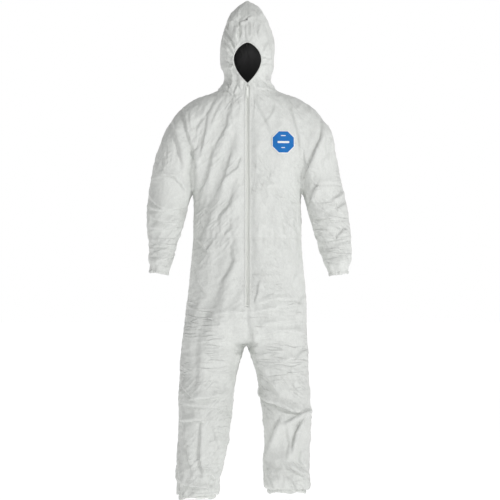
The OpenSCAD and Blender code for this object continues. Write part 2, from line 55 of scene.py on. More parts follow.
WAIST = -508
ARMPIT = -345
ZIP_TOP, ZIP_LENGTH, ZIP_Y, ZIP_LEAN = 37, 785, 78, math.radians(3.9)
ZIP_END = ZIP_TOP - (ZIP_LENGTH + 6) * math.cos(ZIP_LEAN)
TURN = 2 * math.pi
FAR = 9.0  # stands for a distance in metres where there is nothing near


def zip_depth(z, proud=0.0):
    """How far forward the zip lies at a level, in millimetres, and proud of that."""
    return ZIP_Y + proud + (ZIP_TOP - z) * math.tan(ZIP_LEAN)


# level, centre out, centre forward, half width, depth in front, depth behind, squareness
TRUNK = [
    (60, 0, 0, 84, 80, 88, 2.1), (25, 0, 0, 98, 85, 86, 2.1), (6, 0, 0, 118, 88, 88, 2.1),
    (-5, 0, 0, 160, 89, 93, 2.2), (-20, 0, 0, 199, 90, 98, 2.2), (-54, 0, 0, 247, 94, 106, 2.4),
    (-90, 0, 0, 272, 96, 112, 2.6), (-130, 0, 0, 276, 100, 117, 2.7), (-225, 0, 0, 236, 106, 122, 2.5),
    (ARMPIT, 0, 0, 190, 114, 120, 2.3), (-430, 0, 0, 190, 120, 111, 2.3), (WAIST, 0, 0, 190, 124, 103, 2.3),
    (-600, 0, 0, 201, 129, 112, 2.3), (-745, 0, 0, 217, 134, 126, 2.4), (-820, -8, 0, 223, 130, 125, 2.7),
    (-850, -9, 0, 225, 124, 118, 3.0), (-868, -9, 0, 226, 116, 110, 3.2),
]
HOOD = [
    (0, 0, 0, 104, 84, 86, 2.1), (25, 0, 0, 92, 83, 86, 2.1), (54, 0, 0, 87, 82, 91, 2.1),
    (89, 0, 0, 89, 85, 100, 2.1), (125, 0, 0, 92, 88, 108, 2.1), (161, 0, 0, 95, 90, 113, 2.1),
    (196, 0, 0, 93, 87, 112, 2.1), (232, 0, 0, 85, 78, 104, 2.1), (268, 0, 0, 72, 64, 89, 2.1),
    (303, 0, 0, 52, 44, 64, 2.1), (325, 0, 0, 30, 24, 36, 2.1), (337, 0, 0, 6, 6, 8, 2.1),
]
SLEEVES = {
    1: [
        (-60, 205, 0, 40, 62, 66, 2.2), (-110, 226, 0, 62, 76, 80, 2.4), (-196, 246, 0, 72, 83, 83, 2.4),
        (-268, 263, 0, 67, 82, 82, 2.3), (ARMPIT, 275, 0, 71, 79, 79, 2.2), (-411, 287, 3, 71, 75, 75, 2.1),
        (-482, 302, 8, 67, 69, 69, 2.1), (-553, 314, 16, 56, 60, 60, 2.0), (-600, 322, 22, 48, 51, 51, 2.0),
        (-640, 323, 24, 39, 38, 38, 2.0),
    ],
    -1: [
        (-60, 205, 0, 40, 62, 66, 2.2), (-110, 226, 0, 62, 76, 80, 2.4), (-196, 247, 0, 76, 83, 83, 2.4),
        (-268, 268, 0, 75, 82, 82, 2.3), (ARMPIT, 279, 0, 77, 79, 79, 2.2), (-411, 290, 3, 71, 74, 74, 2.1),
        (-482, 296, 8, 59, 64, 64, 2.1), (-553, 303, 16, 46, 53, 53, 2.0), (-600, 311, 22, 41, 44, 44, 2.0),
        (-636, 315, 24, 37, 37, 37, 2.0),
    ],
}
LEGS = {
    1: [
        (-840, 108, 0, 104, 112, 108, 2.4), (-890, 112.5, 0, 106.5, 110, 106, 2.3),
        (-960, 122, 0, 98, 103, 103, 2.2), (-1089, 133, 4, 92, 96, 96, 2.1),
        (-1160, 140, 8, 88, 92, 92, 2.1), (-1232, 144, 4, 83, 88, 88, 2.1),
        (-1303, 141, 0, 84, 86, 86, 2.0), (-1370, 142, -2, 87, 86, 86, 2.0),
        (-1408, 139, -2, 76, 76, 76, 2.0),
    ],
    -1: [
        (-840, 122, 0, 112, 112, 108, 2.4), (-890, 127, 0, 113, 110, 106, 2.3),
        (-960, 138, 0, 106, 104, 104, 2.2), (-1089, 150, 4, 102, 98, 98, 2.1),
        (-1160, 152, 8, 97, 94, 94, 2.1), (-1232, 157, 4, 92, 90, 90, 2.1),
        (-1303, 167, 0, 88, 88, 88, 2.0), (-1385, 178, -2, 80, 84, 84, 2.0),
        (-1430, 180, -2, 76, 76, 76, 2.0),
    ],
}
RAGLAN = [(20, 84), (2, 104), (-54, 134), (-121, 172), (-180, 184), (-250, 189), (ARMPIT, 190)]
# The face opening: level of its lower end, widest level, upper end, and half its width.
FACE = (41, 125, 186, 49)
FACE_MIDDLE = 0.115
CLOTH_PROUD = 4.2  # how far the cloth's edges lie in front of the zip
WRIST_Z = {1: -628, -1: -624}
ANKLE_Z = {1: -1401, -1: -1422}
WRIST_LEAN = math.radians(8)


def read(table, x):
    """A table's row at x of its first column, on a smooth curve through the rows."""
    t = [np.array(r, float) for r in table]
    sgn = 1 if t[-1][0] > t[0][0] else -1
    i = 0
    while i < len(t) - 2 and (t[i + 1][0] - x) * sgn <= 0:
        i += 1

    def slope(k):
        a, b = t[max(k - 1, 0)], t[min(k + 1, len(t) - 1)]
        return (b - a) / (b[0] - a[0])

    p, q = t[i], t[i + 1]
    h = q[0] - p[0]
    u = min(1, max(0, (x - p[0]) / h))
    return (
        p * (2 * u**3 - 3 * u**2 + 1)
        + slope(i) * h * (u**3 - 2 * u**2 + u)
        + q * (3 * u**2 - 2 * u**3)
        + slope(i + 1) * h * (u**3 - u**2)
    )


def face_half_width(z):
    """Half the width of the face opening at a level: a pointed arch above, a narrowing throat below."""
    bottom, mid, top, half = FACE
    if z <= bottom or z >= top:
        return 0.0
    if z > mid:
        return half * (1 - ((z - mid) / (top - mid)) ** 2) ** 0.7
    return half * (1 - ((mid - z) / (mid - bottom)) ** 1.85)


# ---- closed volumes, joined into one skin ----


def mesh_object(name, verts, faces):
    m = bpy.data.meshes.new(name)
    m.from_pydata([tuple(v) for v in verts], [], [tuple(f) for f in faces])
    m.update()
    o = bpy.data.objects.new(name, m)
    collection.objects.link(o)
    return o


def loft(table, side=1, grow=0.0, turns=72, step=10):
    z0, z1 = table[0][0], table[-1][0]
    n = max(4, int(abs(z1 - z0) / step))
    verts, faces = [], []
    for j in range(n + 1):
        z = z0 + (z1 - z0) * j / n
        _, cx, cy, hw, front, back, sq = read(table, z)
        for i in range(turns):
            a = TURN * i / turns
            s, c = math.sin(a), math.cos(a)
            x = cx + (hw + grow) * math.copysign(abs(s) ** (2 / sq), s)
            y = -cy - ((front if c > 0 else back) + grow) * math.copysign(abs(c) ** (2 / sq), c)
            verts.append((side * x / 1000, y / 1000, z / 1000))
    for j in range(n):
        for i in range(turns):
            k = (i + 1) % turns
            faces.append((j * turns + i, j * turns + k, (j + 1) * turns + k, (j + 1) * turns + i))
    faces.append(tuple(reversed(range(turns))))
    faces.append(tuple(n * turns + i for i in range(turns)))
    if side * (z1 - z0) > 0:
        faces = [tuple(reversed(f)) for f in faces]
    return verts, faces


def union(name, parts, voxel, smooth):
    verts, faces = [], []
    for v, f in parts:
        k = len(verts)
        verts += v
        faces += [tuple(i + k for i in g) for g in f]
    o = mesh_object(name, verts, faces)
    r = o.modifiers.new("remesh", "REMESH")
    r.mode = "VOXEL"
    r.voxel_size = voxel
    s = o.modifiers.new("smooth", "SMOOTH")
    s.factor, s.iterations = 0.5, smooth
    apply_modifiers(o)
    return o


def apply_modifiers(o):
    graph = bpy.context.evaluated_depsgraph_get()
    graph.update()
    done = o.evaluated_get(graph)
    m = bpy.data.meshes.new_from_object(done, preserve_all_data_layers=True, depsgraph=graph)
    old = o.data
    o.modifiers.clear()
    o.data = m
    bpy.data.meshes.remove(old)


def coords(mesh, what="co"):
    a = np.empty(len(mesh.vertices) * 3)
    mesh.vertices.foreach_get(what, a)
    return a.reshape(-1, 3)


def normals(mesh):
    return coords(mesh, "normal")


def set_coords(mesh, a):
    mesh.vertices.foreach_set("co", np.ascontiguousarray(a, float).ravel())
    mesh.update()


def all_parts(grow=0.0):
    return (
        [loft(TRUNK, grow=grow), loft(HOOD, grow=grow)]
        + [loft(SLEEVES[s], s, grow) for s in (1, -1)]
        + [loft(LEGS[s], s, grow) for s in (1, -1)]
    )


VOXEL = 0.0075
skin = union("suit", all_parts(), VOXEL, 6)
form = union("form", all_parts(-13.0), 0.014, 8)

# ---- seams: edge loops where the panels meet, then the open ends ----

bm = bmesh.new()
bm.from_mesh(skin.data)


def cut(point, normal, keep, clear=False):
    """Cuts along a plane, through the faces whose centre keep() accepts; near points are moved onto it."""
    p, n = Vector(point), Vector(normal).normalized()
    faces = [f for f in bm.faces if keep(f.calc_center_median())]
    verts = list(dict.fromkeys(v for f in faces for v in f.verts))
    for v in verts:
        d = (v.co - p).dot(n)
        if abs(d) < 0.3 * VOXEL:
            v.co -= n * d
    geom = faces + list(dict.fromkeys(e for f in faces for e in f.edges)) + verts
    bmesh.ops.bisect_plane(bm, geom=geom, dist=0.00002, plane_co=p, plane_no=n, clear_outer=clear)


def raglan_x(z):
    """How far out the seam between trunk and sleeve is at a level, in metres."""
    mm = z * 1000
    if mm < ARMPIT:
        return (197 + (ARMPIT - mm) * 0.12) / 1000
    for (z1, x1), (z2, x2) in zip(RAGLAN, RAGLAN[1:]):
        if mm >= z2:
            return (x1 + (x2 - x1) * (min(mm, z1) - z1) / (z2 - z1)) / 1000
    return 0.19


cut((0, 0, 0), (1, 0, 0), lambda c: abs(c.x) < 0.03)
cut((0, 0, 0), (0, 1, 0), lambda c: True)
cut((0, 0, WAIST / 1000), (0, 0, 1), lambda c: abs(c.x) < 0.212)
NECK_HALF = 0.14  # only the neck and the hood are nearer the middle, above the neck seam
cut((0, 0, 0), (0, 0, 1), lambda c: abs(c.x) < NECK_HALF)
BELOW = 0.003  # the cloth ends this far below the line where its hem begins
for s in (1, -1):
    for (z1, x1), (z2, x2) in zip(RAGLAN[1:], RAGLAN[2:]):
        cut(
            (s * x1 / 1000, 0, z1 / 1000),
            (s * (z1 - z2), 0, x2 - x1),
            lambda c: z2 - 8 < c.z * 1000 < z1 + 8 and s * c.x > 0 and abs(s * c.x - raglan_x(c.z)) < 0.03,
        )
    r = read(SLEEVES[s], WRIST_Z[s])
    cut(
        (s * r[1] / 1000, -r[2] / 1000, WRIST_Z[s] / 1000 - BELOW),
        (s * math.sin(WRIST_LEAN), 0, -math.cos(WRIST_LEAN)),
        lambda c: s * c.x > 0.24 and -0.8 < c.z < -0.5,
        True,
    )
    cut((0, 0, ANKLE_Z[s] / 1000 - BELOW), (0, 0, -1), lambda c: s * c.x > 0 and c.z < -1.3, True)

CHANNEL = 0.0085  # half the width of the gap that the zip lies in
for x in (CHANNEL, -CHANNEL):
    cut((x, 0, 0), (1, 0, 0), lambda c: abs(c.x) < 0.022 and c.y < 0 and ZIP_END / 1000 - 0.004 < c.z < 0.05)
cut((0, 0, ZIP_END / 1000), (0, 0, 1), lambda c: abs(c.x) < 0.03 and c.y < 0)


def open_up(inside):
    """Takes away the faces whose centre inside() accepts."""
    gone = [f for f in bm.faces if inside(f.calc_center_median())]
    bmesh.ops.delete(bm, geom=gone, context="FACES")


open_up(lambda c: abs(c.x) < CHANNEL and c.y < 0 and ZIP_END / 1000 < c.z < FACE[0] / 1000 + 0.001)
open_up(lambda c: c.y < -0.02 and c.z > FACE[0] / 1000 and abs(c.x) * 1000 < face_half_width(c.z * 1000))
bmesh.ops.delete(bm, geom=[v for v in bm.verts if not v.link_faces], context="VERTS")


def outline(k):
    """A point of the face opening's edge, k from 0 to 1 from its lower end up the left side and back."""
    up = (1 - math.cos(TURN * k)) / 2
    z = FACE[0] + 0.5 + (FACE[2] - FACE[0] - 1) * up
    return math.copysign(face_half_width(z), math.sin(TURN * k)), z


OUTLINE = np.array([outline(i / 240) for i in range(240)]) / 1000
for v in bm.verts:
    if v.is_boundary and v.co.z > FACE[0] / 1000 + 0.002 and abs(v.co.x) < 0.08 and v.co.y < 0:
        k = int(((OUTLINE[:, 0] - v.co.x) ** 2 + (OUTLINE[:, 1] - v.co.z) ** 2).argmin())
        v.co.x, v.co.z = OUTLINE[k]
around = [v for v in bm.verts if not v.is_boundary and v.co.y < 0]
around = [v for v in around if 0.02 < v.co.z < 0.21 and 0.004 < abs(v.co.x) < 0.075]
for _ in range(4):
    bmesh.ops.smooth_vert(bm, verts=around, factor=0.5, use_axis_x=True, use_axis_y=False, use_axis_z=True)
bmesh.ops.triangulate(bm, faces=[f for f in bm.faces if len(f.verts) > 4])
panel = bm.faces.layers.int.new("panel")
BODICE, TROUSER, SLEEVE, COWL = 0, 4, 8, 12  # the numbers of each one's front left quarter
for f in bm.faces:
    c = f.calc_center_median()
    if c.z > 0 and abs(c.x) < NECK_HALF:
        kind = COWL
    elif abs(c.x) > raglan_x(c.z) and c.z > -0.7:
        kind = SLEEVE
    else:
        kind = BODICE if c.z > WAIST / 1000 else TROUSER
    f[panel] = kind + (0 if c.y < 0 else 2) + (0 if c.x > 0 else 1)
bm.to_mesh(skin.data)
bm.free()


# ---- where the cloth is gathered, held and seamed ----

rest = coords(skin.data).copy()
count = len(rest)
X, Y, Z = rest.T
side_view = np.abs(X)
front = Y < 0


def line_distance(points, p2):
    """Distance from 2-D points to a polyline."""
    best = np.full(len(points), FAR)
    for a, b in zip(p2[:-1], p2[1:]):
        a, b = np.array(a, float), np.array(b, float)
        t = np.clip(((points - a) @ (b - a)) / max(1e-12, (b - a) @ (b - a)), 0, 1)
        best = np.minimum(best, np.linalg.norm(points - a - t[:, None] * (b - a), axis=1))
    return best


def soft(x, width):
    """1 at x 0, falling smoothly to 0 at width."""
    t = np.clip(1 - np.abs(x) / width, 0, 1)
    return t * t * (3 - 2 * t)


N = normals(skin.data)
face_line = [tuple(p) for p in OUTLINE] + [tuple(OUTLINE[0])]
to_face = np.where(front & (Z > 0.0), line_distance(rest[:, [0, 2]], face_line), FAR)
raglan_line = [(x / 1000, z / 1000) for z, x in RAGLAN]
to_raglan = line_distance(np.stack([side_view, Z], 1), raglan_line)
wrist_axis = {s: np.array([s * math.sin(WRIST_LEAN), 0, -math.cos(WRIST_LEAN)]) for s in (1, -1)}
ankle_axis = np.array([0, 0, -1.0])
wrist_at, ankle_at = {}, {}
to_wrist = np.full(count, FAR)
to_ankle = np.full(count, FAR)
for s in (1, -1):
    r = read(SLEEVES[s], WRIST_Z[s])
    wrist_at[s] = np.array([s * r[1], -r[2], WRIST_Z[s]]) / 1000
    arm = (s * X > 0.24) & (Z < -0.45) & (Z > -0.72)
    to_wrist[arm] = -((rest[arm] - wrist_at[s]) @ wrist_axis[s])
    r = read(LEGS[s], ANKLE_Z[s])
    ankle_at[s] = np.array([s * r[1], -r[2], ANKLE_Z[s]]) / 1000
    leg = (s * X > 0) & (Z < -1.0)
    to_ankle[leg] = Z[leg] - ANKLE_Z[s] / 1000
trunk = np.array([abs(x) < raglan_x(z) for x, z in zip(X, Z)])
to_waist = np.where(trunk, np.abs(Z - WAIST / 1000), FAR)
on_zip = front & (Z > ZIP_END / 1000 - 0.012) & (Z < 0.045)
to_zip = np.where(on_zip, side_view, FAR)
off_zip = 1 - np.clip(soft(to_zip, 0.030) * 1.2, 0, 1)
from_label = np.hypot(X - 0.127, Z + 0.168)


# ---- the drape: first the gathers and drag lines the cut gives, then a cloth simulation ----

# Folds as seen from the front, in millimetres: width, height, then its points, each as out, up. Each
# stands up on its wearer's-left or upper side and drops away on the other.
FOLDS = [
    (22, 6, -112, -2, -140, -60, -182, -115, -196, -160),
    (24, 8, -226, -55, -224, -120, -214, -165, -192, -215, -186, -250),
    (26, 7, -272, -95, -252, -170, -240, -245), (18, 5, -206, -50, -208, -110, -200, -150),
    (26, 9, -196, -180, -193, -250, -190, -335), (18, 5, -140, -55, -146, -110, -162, -170, -172, -215),
    (20, 5, -70, -45, -76, -110, -96, -150, -118, -185),
    (20, 6, -62, -205, -70, -250, -82, -290, -98, -325),
    (26, 8, -126, -198, -134, -245, -150, -290, -180, -350),
    (20, 6, -12, -205, -35, -258, -75, -292, -104, -332),
    (28, 7, -52, -345, -64, -390, -94, -425, -112, -450), (34, 5, -150, -372, -134, -425, -160, -480),
    (22, 4, -62, -440, -58, -475, -84, -500), (16, 3.5, -55, -10, -58, -60, -60, -110),
    (14, 3, -30, -8, -22, -50, -12, -90), (14, 3.5, -95, -20, -118, -70, -130, -110),
    (22, 4, -180, -25, -205, -45, -232, -80), (14, 5, -276, -278, -246, -304, -222, -345),
    (20, 4, -310, -250, -290, -275, -262, -285), (16, 5, -352, -365, -320, -385, -290, -402),
    (16, 5, -345, -400, -290, -410, -232, -402), (18, 4, -340, -432, -292, -452, -244, -448),
    (16, 4, -345, -470, -300, -482, -256, -470), (18, 4, -336, -520, -300, -536, -262, -530),
    (16, 3.5, -330, -570, -300, -580, -270, -570), (22, 8, 262, -95, 260, -150, 238, -220, 206, -290),
    (30, 6, 272, -90, 286, -150, 294, -200), (16, 4, 150, -30, 168, -85, 186, -140, 198, -200),
    (14, 3, 130, -10, 150, -50, 176, -90), (12, 4, 205, -195, 214, -235, 204, -265),
    (20, 3, 30, -30, 52, -70, 74, -112), (18, 3, 96, -34, 84, -70, 60, -98),
    (12, 3.5, 112, -320, 66, -330, 22, -322), (36, 3.5, 180, -330, 150, -400, 128, -470),
    (26, 8, 250, -315, 232, -345, 226, -372), (16, 5, 344, -330, 330, -350, 300, -372),
    (16, 7, 312, -444, 262, -430, 226, -404), (18, 4, 352, -380, 318, -404, 280, -412),
    (16, 5, 304, -480, 272, -470, 238, -446), (16, 4, 352, -470, 322, -500, 290, -506),
    (18, 4, 350, -540, 316, -552, 276, -540), (14, 4, 352, -590, 322, -600, 290, -590),
    (20, 6, -186, -512, -152, -548, -124, -520), (28, 6, -66, -530, -50, -590, -74, -640, -112, -672),
    (18, 5, -196, -595, -178, -650, -150, -705), (14, 3.5, -42, -540, -26, -600, -16, -680),
    (12, 4, 8, -520, 30, -530, 38, -556), (14, 6, 44, -660, 40, -700, 24, -740),
    (16, 4.5, 186, -560, 176, -610, 162, -660), (18, 4.5, 206, -700, 184, -745, 170, -790),
    (14, 5, 2, -772, -50, -768, -110, -775), (14, 4, -60, -812, -110, -800, -160, -786),
    (12, 4.5, 152, -722, 100, -726, 40, -742), (10, 3.5, 130, -702, 90, -706, 56, -722),
    (12, 4, 130, -752, 70, -762, 10, -774), (12, 4, 176, -806, 110, -806, 60, -812),
    (14, 5, 206, -852, 120, -840, 50, -856), (10, 3, 112, -872, 76, -866, 40, -872),
    (12, 3, -60, -868, -110, -872, -180, -880), (12, 3, -50, -920, -110, -926, -160, -912),
    (30, 7, 10, -820, 28, -900, 44, -960, 84, -1030, 116, -1076), (12, 5, 186, -982, 116, -970, 56, -950),
    (14, 4, 210, -900, 170, -930, 120, -944), (20, 9, 34, -1062, 100, -1090, 192, -1130),
    (18, 7, 130, -1156, 160, -1140, 228, -1112), (26, 3.5, 150, -960, 160, -1020, 172, -1080),
    (38, 3.5, -176, -860, -180, -950, -182, -1055), (16, 6, -236, -1028, -212, -1052, -188, -1072),
    (20, 6, -82, -1066, -140, -1070, -198, -1078), (18, 5, -120, -1100, -165, -1102, -212, -1096),
    (16, 6, -158, -1156, -186, -1148, -236, -1158), (15, 6, -166, -1150, -168, -1240, -158, -1345),
    (18, 7, -232, -1180, -208, -1240, -196, -1310), (26, 3, -120, -1180, -100, -1250, -96, -1320),
    (15, 8, 198, -1140, 176, -1190, 160, -1262), (24, 7, 112, -1146, 96, -1200, 78, -1250),
    (24, 4, 130, -1170, 150, -1230, 140, -1290), (18, 6, 214, -1352, 176, -1334, 138, -1308),
    (18, 4, 200, -1250, 186, -1290, 206, -1330), (16, 5, 100, -1390, 84, -1362, 70, -1330),
    (14, 4, 176, -1396, 160, -1370, 140, -1352), (14, 6, -122, -1400, -168, -1386, -246, -1372),
    (14, 4, -110, -1372, -130, -1350, -170, -1340), (18, 6, -58, 285, -66, 235, -50, 185),
    (12, 5, -84, 235, -86, 190, -70, 150), (12, 2.5, 16, 282, 0, 270, -14, 252),
    (9, 3, -30, 250, -32, 225, -28, 205), (9, 3, 8, 250, 10, 225, 6, 205),
    (16, 3, 70, 250, 84, 210, 84, 170), (12, 4, -78, 60, -62, 30, -46, 6),
    (10, 4, -34, 52, -24, 24, -12, 2), (10, 3.5, -56, 70, -54, 40, -70, 12),
    (14, 3, 60, 50, 78, 30, 96, 18),
]
# Finer creases in the final cloth, in the same way.
CREASES = [
    (9, 2.5, 12, 282, -12, 262, -37, 250), (10, 6, -45, 246, -50, 212, -38, 183),
    (10, 5, -64, 262, -54, 222, -45, 187), (9, 5, -78, 232, -60, 200, -44, 172),
    (8, 5, -80, 196, -66, 172, -52, 154), (8, 4.5, -84, 160, -68, 142, -53, 134),
    (8, 4, -86, 130, -68, 116, -51, 114), (8, 4, -82, 96, -62, 92, -46, 98),
    (7, 3.5, -28, 246, -24, 222, -28, 202), (7, 3, -8, 250, -12, 226, -6, 200),
    (8, 3, 22, 262, 18, 236, 26, 205), (8, 2.5, 40, 250, 36, 215, 44, 190),
    (9, 3, 70, 190, 60, 165, 52, 150), (8, 3, 82, 130, 66, 122, 52, 120), (8, 3, 78, 100, 60, 98, 44, 92),
    (9, 5, -72, 108, -66, 88, -56, 49), (8, 5, -41, 84, -29, 48, -17, 32),
    (9, 4, -80, 32, -65, 12, -52, -4), (8, 4, -34, 34, -45, 6, -40, -16), (10, 3, 40, 60, 58, 44, 80, 36),
    (8, 2.5, 22, 30, 44, 16, 70, 14),
]
FOLDS, CREASES = [[(list(zip(r[2::2], r[3::2])), r[0], r[1]) for r in rows] for rows in (FOLDS, CREASES)]


def wave(k):
    return np.sin(TURN * k)


def field(sx, sy, sz, seed, at=None):
    """Smooth noise at each point, about -1 to 1, with a frequency along each axis."""
    off = Vector((seed * 7.3, seed * 3.1, seed * 5.7))
    places = rest if at is None else at
    return np.array([noise.noise(Vector((x * sx, y * sy, z * sz)) + off) for x, y, z in places])


def bump(u):
    """A fold's section: steep below 0.5, gentle above it, with a shallow valley at its foot."""
    hill = np.where(u > 0.5, np.exp(-(((u - 0.5) / 0.75) ** 2)), np.exp(-(((u - 0.5) / 0.33) ** 2)))
    return hill - 0.5 * np.exp(-(((u + 0.3) / 0.28) ** 2))


def folded(q, points, width, height, flip=1):
    """The push that one fold gives each point of q, seen from the front."""
    pts = np.array(points, float) / 1000
    pts[:, 0] *= flip
    w = width / 1000
    out = np.zeros(len(q))
    near = np.nonzero(((q > pts.min(0) - 4 * w) & (q < pts.max(0) + 4 * w)).all(1))[0]
    q = q[near]
    length = np.linalg.norm(np.diff(pts, axis=0), axis=1)
    along = np.concatenate([[0], np.cumsum(length)]) / length.sum()
    best, side, at = np.full(len(q), FAR), np.zeros(len(q)), np.zeros(len(q))
    for k in range(len(length)):
        a, d = pts[k], pts[k + 1] - pts[k]
        t = np.clip(((q - a) @ d) / (d @ d), 0, 1)
        r = q - a - t[:, None] * d
        dist = np.linalg.norm(r, axis=1)
        n = np.array([-d[1], d[0]]) / np.linalg.norm(d)
        n = n if n[0] + 0.4 * n[1] > 0 else -n
        closer = dist < best
        best = np.where(closer, dist, best)
        side = np.where(closer, np.sign(r @ n), side)
        at = np.where(closer, along[k] + t * (along[k + 1] - along[k]), at)
    ends = np.clip(np.sin(math.pi * np.clip(0.06 + 0.88 * at, 0, 1)) * 1.5, 0, 1)
    out[near] = height / 1000 * ends * bump(side * best / w)
    return out


facing = soft(1 - np.clip(-N[:, 1] * 1.6 + 0.25, 0, 1), 1.0)
behind = soft(1 - np.clip(N[:, 1] * 1.6 + 0.25, 0, 1), 1.0)


def seen(at):
    """Points as seen from the front, a little unsteady, so that folds drawn straight come out natural."""
    return at[:, [0, 2]] + np.stack([field(14, 8, 9, 21, at), field(14, 8, 9, 22, at)], axis=1) * 0.008


def strength(points):
    """Folds are strongest on the shins and the hood, and weakest on the chest and belly."""
    x, z = points[0]
    if z < -1000:
        return 1.35
    if z > 20:
        return 1.1
    return 0.7 if z > -720 and abs(x) < 215 else 1.0


push = np.zeros(count)
plan = seen(rest)
for points, width, height in FOLDS:
    height *= strength(points)
    push += facing * folded(plan, points, width, height)
    push += behind * folded(plan, points, width * 1.15, 0.65 * height, -1)

# gathers round the face opening, above the wrists and ankles, and along the waist's elastic
turn = np.arctan2(X, Z - FACE_MIDDLE)
push += 0.0030 * soft(to_face - 0.006, 0.04) * wave(turn * 36 / TURN + 0.7 * field(16, 9, 16, 1))
for s in (1, -1):
    turn = np.arctan2(Y - wrist_at[s][1], X - wrist_at[s][0])
    ripple = wave(turn * 12 / TURN + 0.9 * field(20, 20, 8, 2))
    push += 0.0024 * soft(to_wrist, 0.06) * (s * X > 0.2) * ripple
    turn = np.arctan2(Y - ankle_at[s][1], X - ankle_at[s][0])
    ripple = wave(turn * 19 / TURN + 1.1 * field(14, 14, 6, 3))
    push += 0.0030 * soft(to_ankle, 0.07) * (s * X > 0) * ripple
turn = np.arctan2(Y, X)
ripple = wave(turn * 44 / TURN + 1.3 * field(12, 12, 6, 4))
push += 0.0016 * soft(to_waist, 0.05) * ripple * (to_zip > 0.03)
# the hood is drawn in at the neck, most on the right
at_neck = soft(np.abs(Z - 0.064) - 0.004, 0.034)
push -= np.where(X < 0, 0.012, 0.007) * at_neck * soft(np.maximum(0.075 - side_view, 0), 0.03)
# loose cloth elsewhere, most on the legs
push += 0.0055 * field(3, 3, 13, 31) * soft(np.maximum(Z + 0.93, 0), 0.05)
push += 0.0030 * field(8, 5, 4, 5) + 0.0016 * field(24, 18, 14, 6) + 0.0008 * field(60, 50, 40, 7)

# seams lie in shallow valleys
on_raglan = (Z > ARMPIT / 1000 - 0.005) & (Z < 0.01)
on_middle = (~front | (Z > 0.188) | (Z < ZIP_END / 1000)) & (trunk | (Z > 0))
on_neck = (side_view < NECK_HALF) & (to_zip > 0.012)
seam = np.maximum.reduce([
    soft(to_raglan, 0.008) * on_raglan,
    soft(Y, 0.008) * (Z < 0.0),
    soft(X, 0.008) * on_middle,
    0.3 * soft(to_waist, 0.009),
    soft(Z, 0.008) * on_neck,
])
push -= 0.0010 * seam

hold = ((to_face < 0.0022) | (to_wrist < 0.0025) | (to_ankle < 0.0025) | (to_zip < 0.012)).astype(float)
push *= off_zip
smooth_here = (1 - hold) * (1 - 0.8 * front * soft(np.maximum(from_label - 0.036, 0), 0.035))
push *= smooth_here
shape = rest + N * push[:, None]
# the zip's edges lie straight, in the plane of the zip
zip_front = -zip_depth(Z * 1000, CLOTH_PROUD) / 1000
pull = soft(to_zip - 0.010, 0.028) * (to_zip < 1)
shape[:, 1] = shape[:, 1] * (1 - pull) + zip_front * pull
# and the cuffs are drawn in to their hems
CUFF_R = {"wrist": 0.0352, "ankle": 0.0662}


def pleat(kind, s, turn):
    """The ripple that the elastic puts in a cuff, the same in cloth and hem."""
    k = turn / TURN
    if kind == "wrist":
        return 0.0014 * wave(7 * k + 0.3 * wave(2 * k + 0.3 * s)) + 0.0008 * wave(17 * k + 0.4 * wave(3 * k))
    return 0.0022 * wave(8 * k + 0.3 * wave(2 * k + 0.3 * s)) + 0.0012 * wave(21 * k + 0.5 * wave(3 * k))


for s in (1, -1):
    for kind, at, axis, reach in (
        ("wrist", wrist_at[s], wrist_axis[s], to_wrist),
        ("ankle", ankle_at[s], ankle_axis, to_ankle),
    ):
        near = (s * X > 0) & (reach < 0.034)
        rel = shape[near] - at
        radial = rel - (rel @ axis)[:, None] * axis
        r = np.linalg.norm(radial, axis=1)
        turn = np.arctan2(radial[:, 1], radial[:, 0])
        k = soft(np.maximum(reach[near] - 0.002, 0), 0.030)
        shape[near] += radial * (k * ((CUFF_R[kind] + pleat(kind, s, turn)) / r - 1))[:, None]
set_coords(skin.data, shape)


def mark(name, values):
    """Stores a value at each point of the cloth, to be read when it has been draped."""
    skin.data.attributes.new(name, "FLOAT", "POINT").data.foreach_set("value", np.asarray(values, np.float32))


# how far each point is from a seam, how far along the seam it is, and where the cloth lies smooth
upright = np.minimum.reduce([
    np.where(on_raglan, to_raglan, FAR),
    np.where(Z < 0, np.abs(Y), FAR),
    np.where(on_middle, side_view, FAR),
])
level = np.minimum(to_waist, np.where(on_neck, np.abs(Z), FAR))
mark("seam", np.minimum(0.05, np.minimum(upright, level)))
mark("free", smooth_here * off_zip)
mark("facing", facing)
mark("behind", behind)
for k, axis in enumerate("xyz"):
    mark("rest_" + axis, rest[:, k])
mark("run", np.where(upright < level, Z, X))
under_label = soft(np.maximum(from_label - 0.038, 0), 0.02) * front
mark("calm", np.clip(soft(to_zip - 0.010, 0.02) * (to_zip < 1) + hold + under_label, 0, 1))


def group(name, weights):
    g = skin.vertex_groups.new(name=name)
    rounded = np.round(weights, 2)
    for w in np.unique(rounded):
        if w > 0:
            g.add(np.nonzero(rounded == w)[0].tolist(), float(w), "REPLACE")


group("pin", np.maximum(hold, 0.05 + 0.5 * soft(to_zip, 0.03)))
group("gather", np.maximum(soft(to_waist, 0.01), 0.5 * seam))
form.modifiers.new("collision", "COLLISION")
form.collision.thickness_outer = 0.004
form.collision.cloth_friction = 6
cloth = skin.modifiers.new("cloth", "CLOTH")
c = cloth.settings
c.quality = 6
c.mass = 0.12
c.air_damping = 2.0
c.tension_stiffness = c.compression_stiffness = 30
c.shear_stiffness = 12
c.bending_stiffness = 6.0
c.tension_damping = c.compression_damping = c.shear_damping = 8
c.bending_damping = 0.8
c.vertex_group_mass = "pin"
c.pin_stiffness = 2.0
c.vertex_group_shrink = "gather"
c.shrink_min = -0.004
c.shrink_max = 0.04
c.effector_weights.gravity = 0.12
cloth.collision_settings.distance_min = 0.003
cloth.collision_settings.use_self_collision = False
FRAMES = 22
cloth.point_cache.frame_start, cloth.point_cache.frame_end = 1, FRAMES
for f in range(1, FRAMES + 1):
    scene.frame_set(f)
apply_modifiers(skin)
scene.frame_set(1)
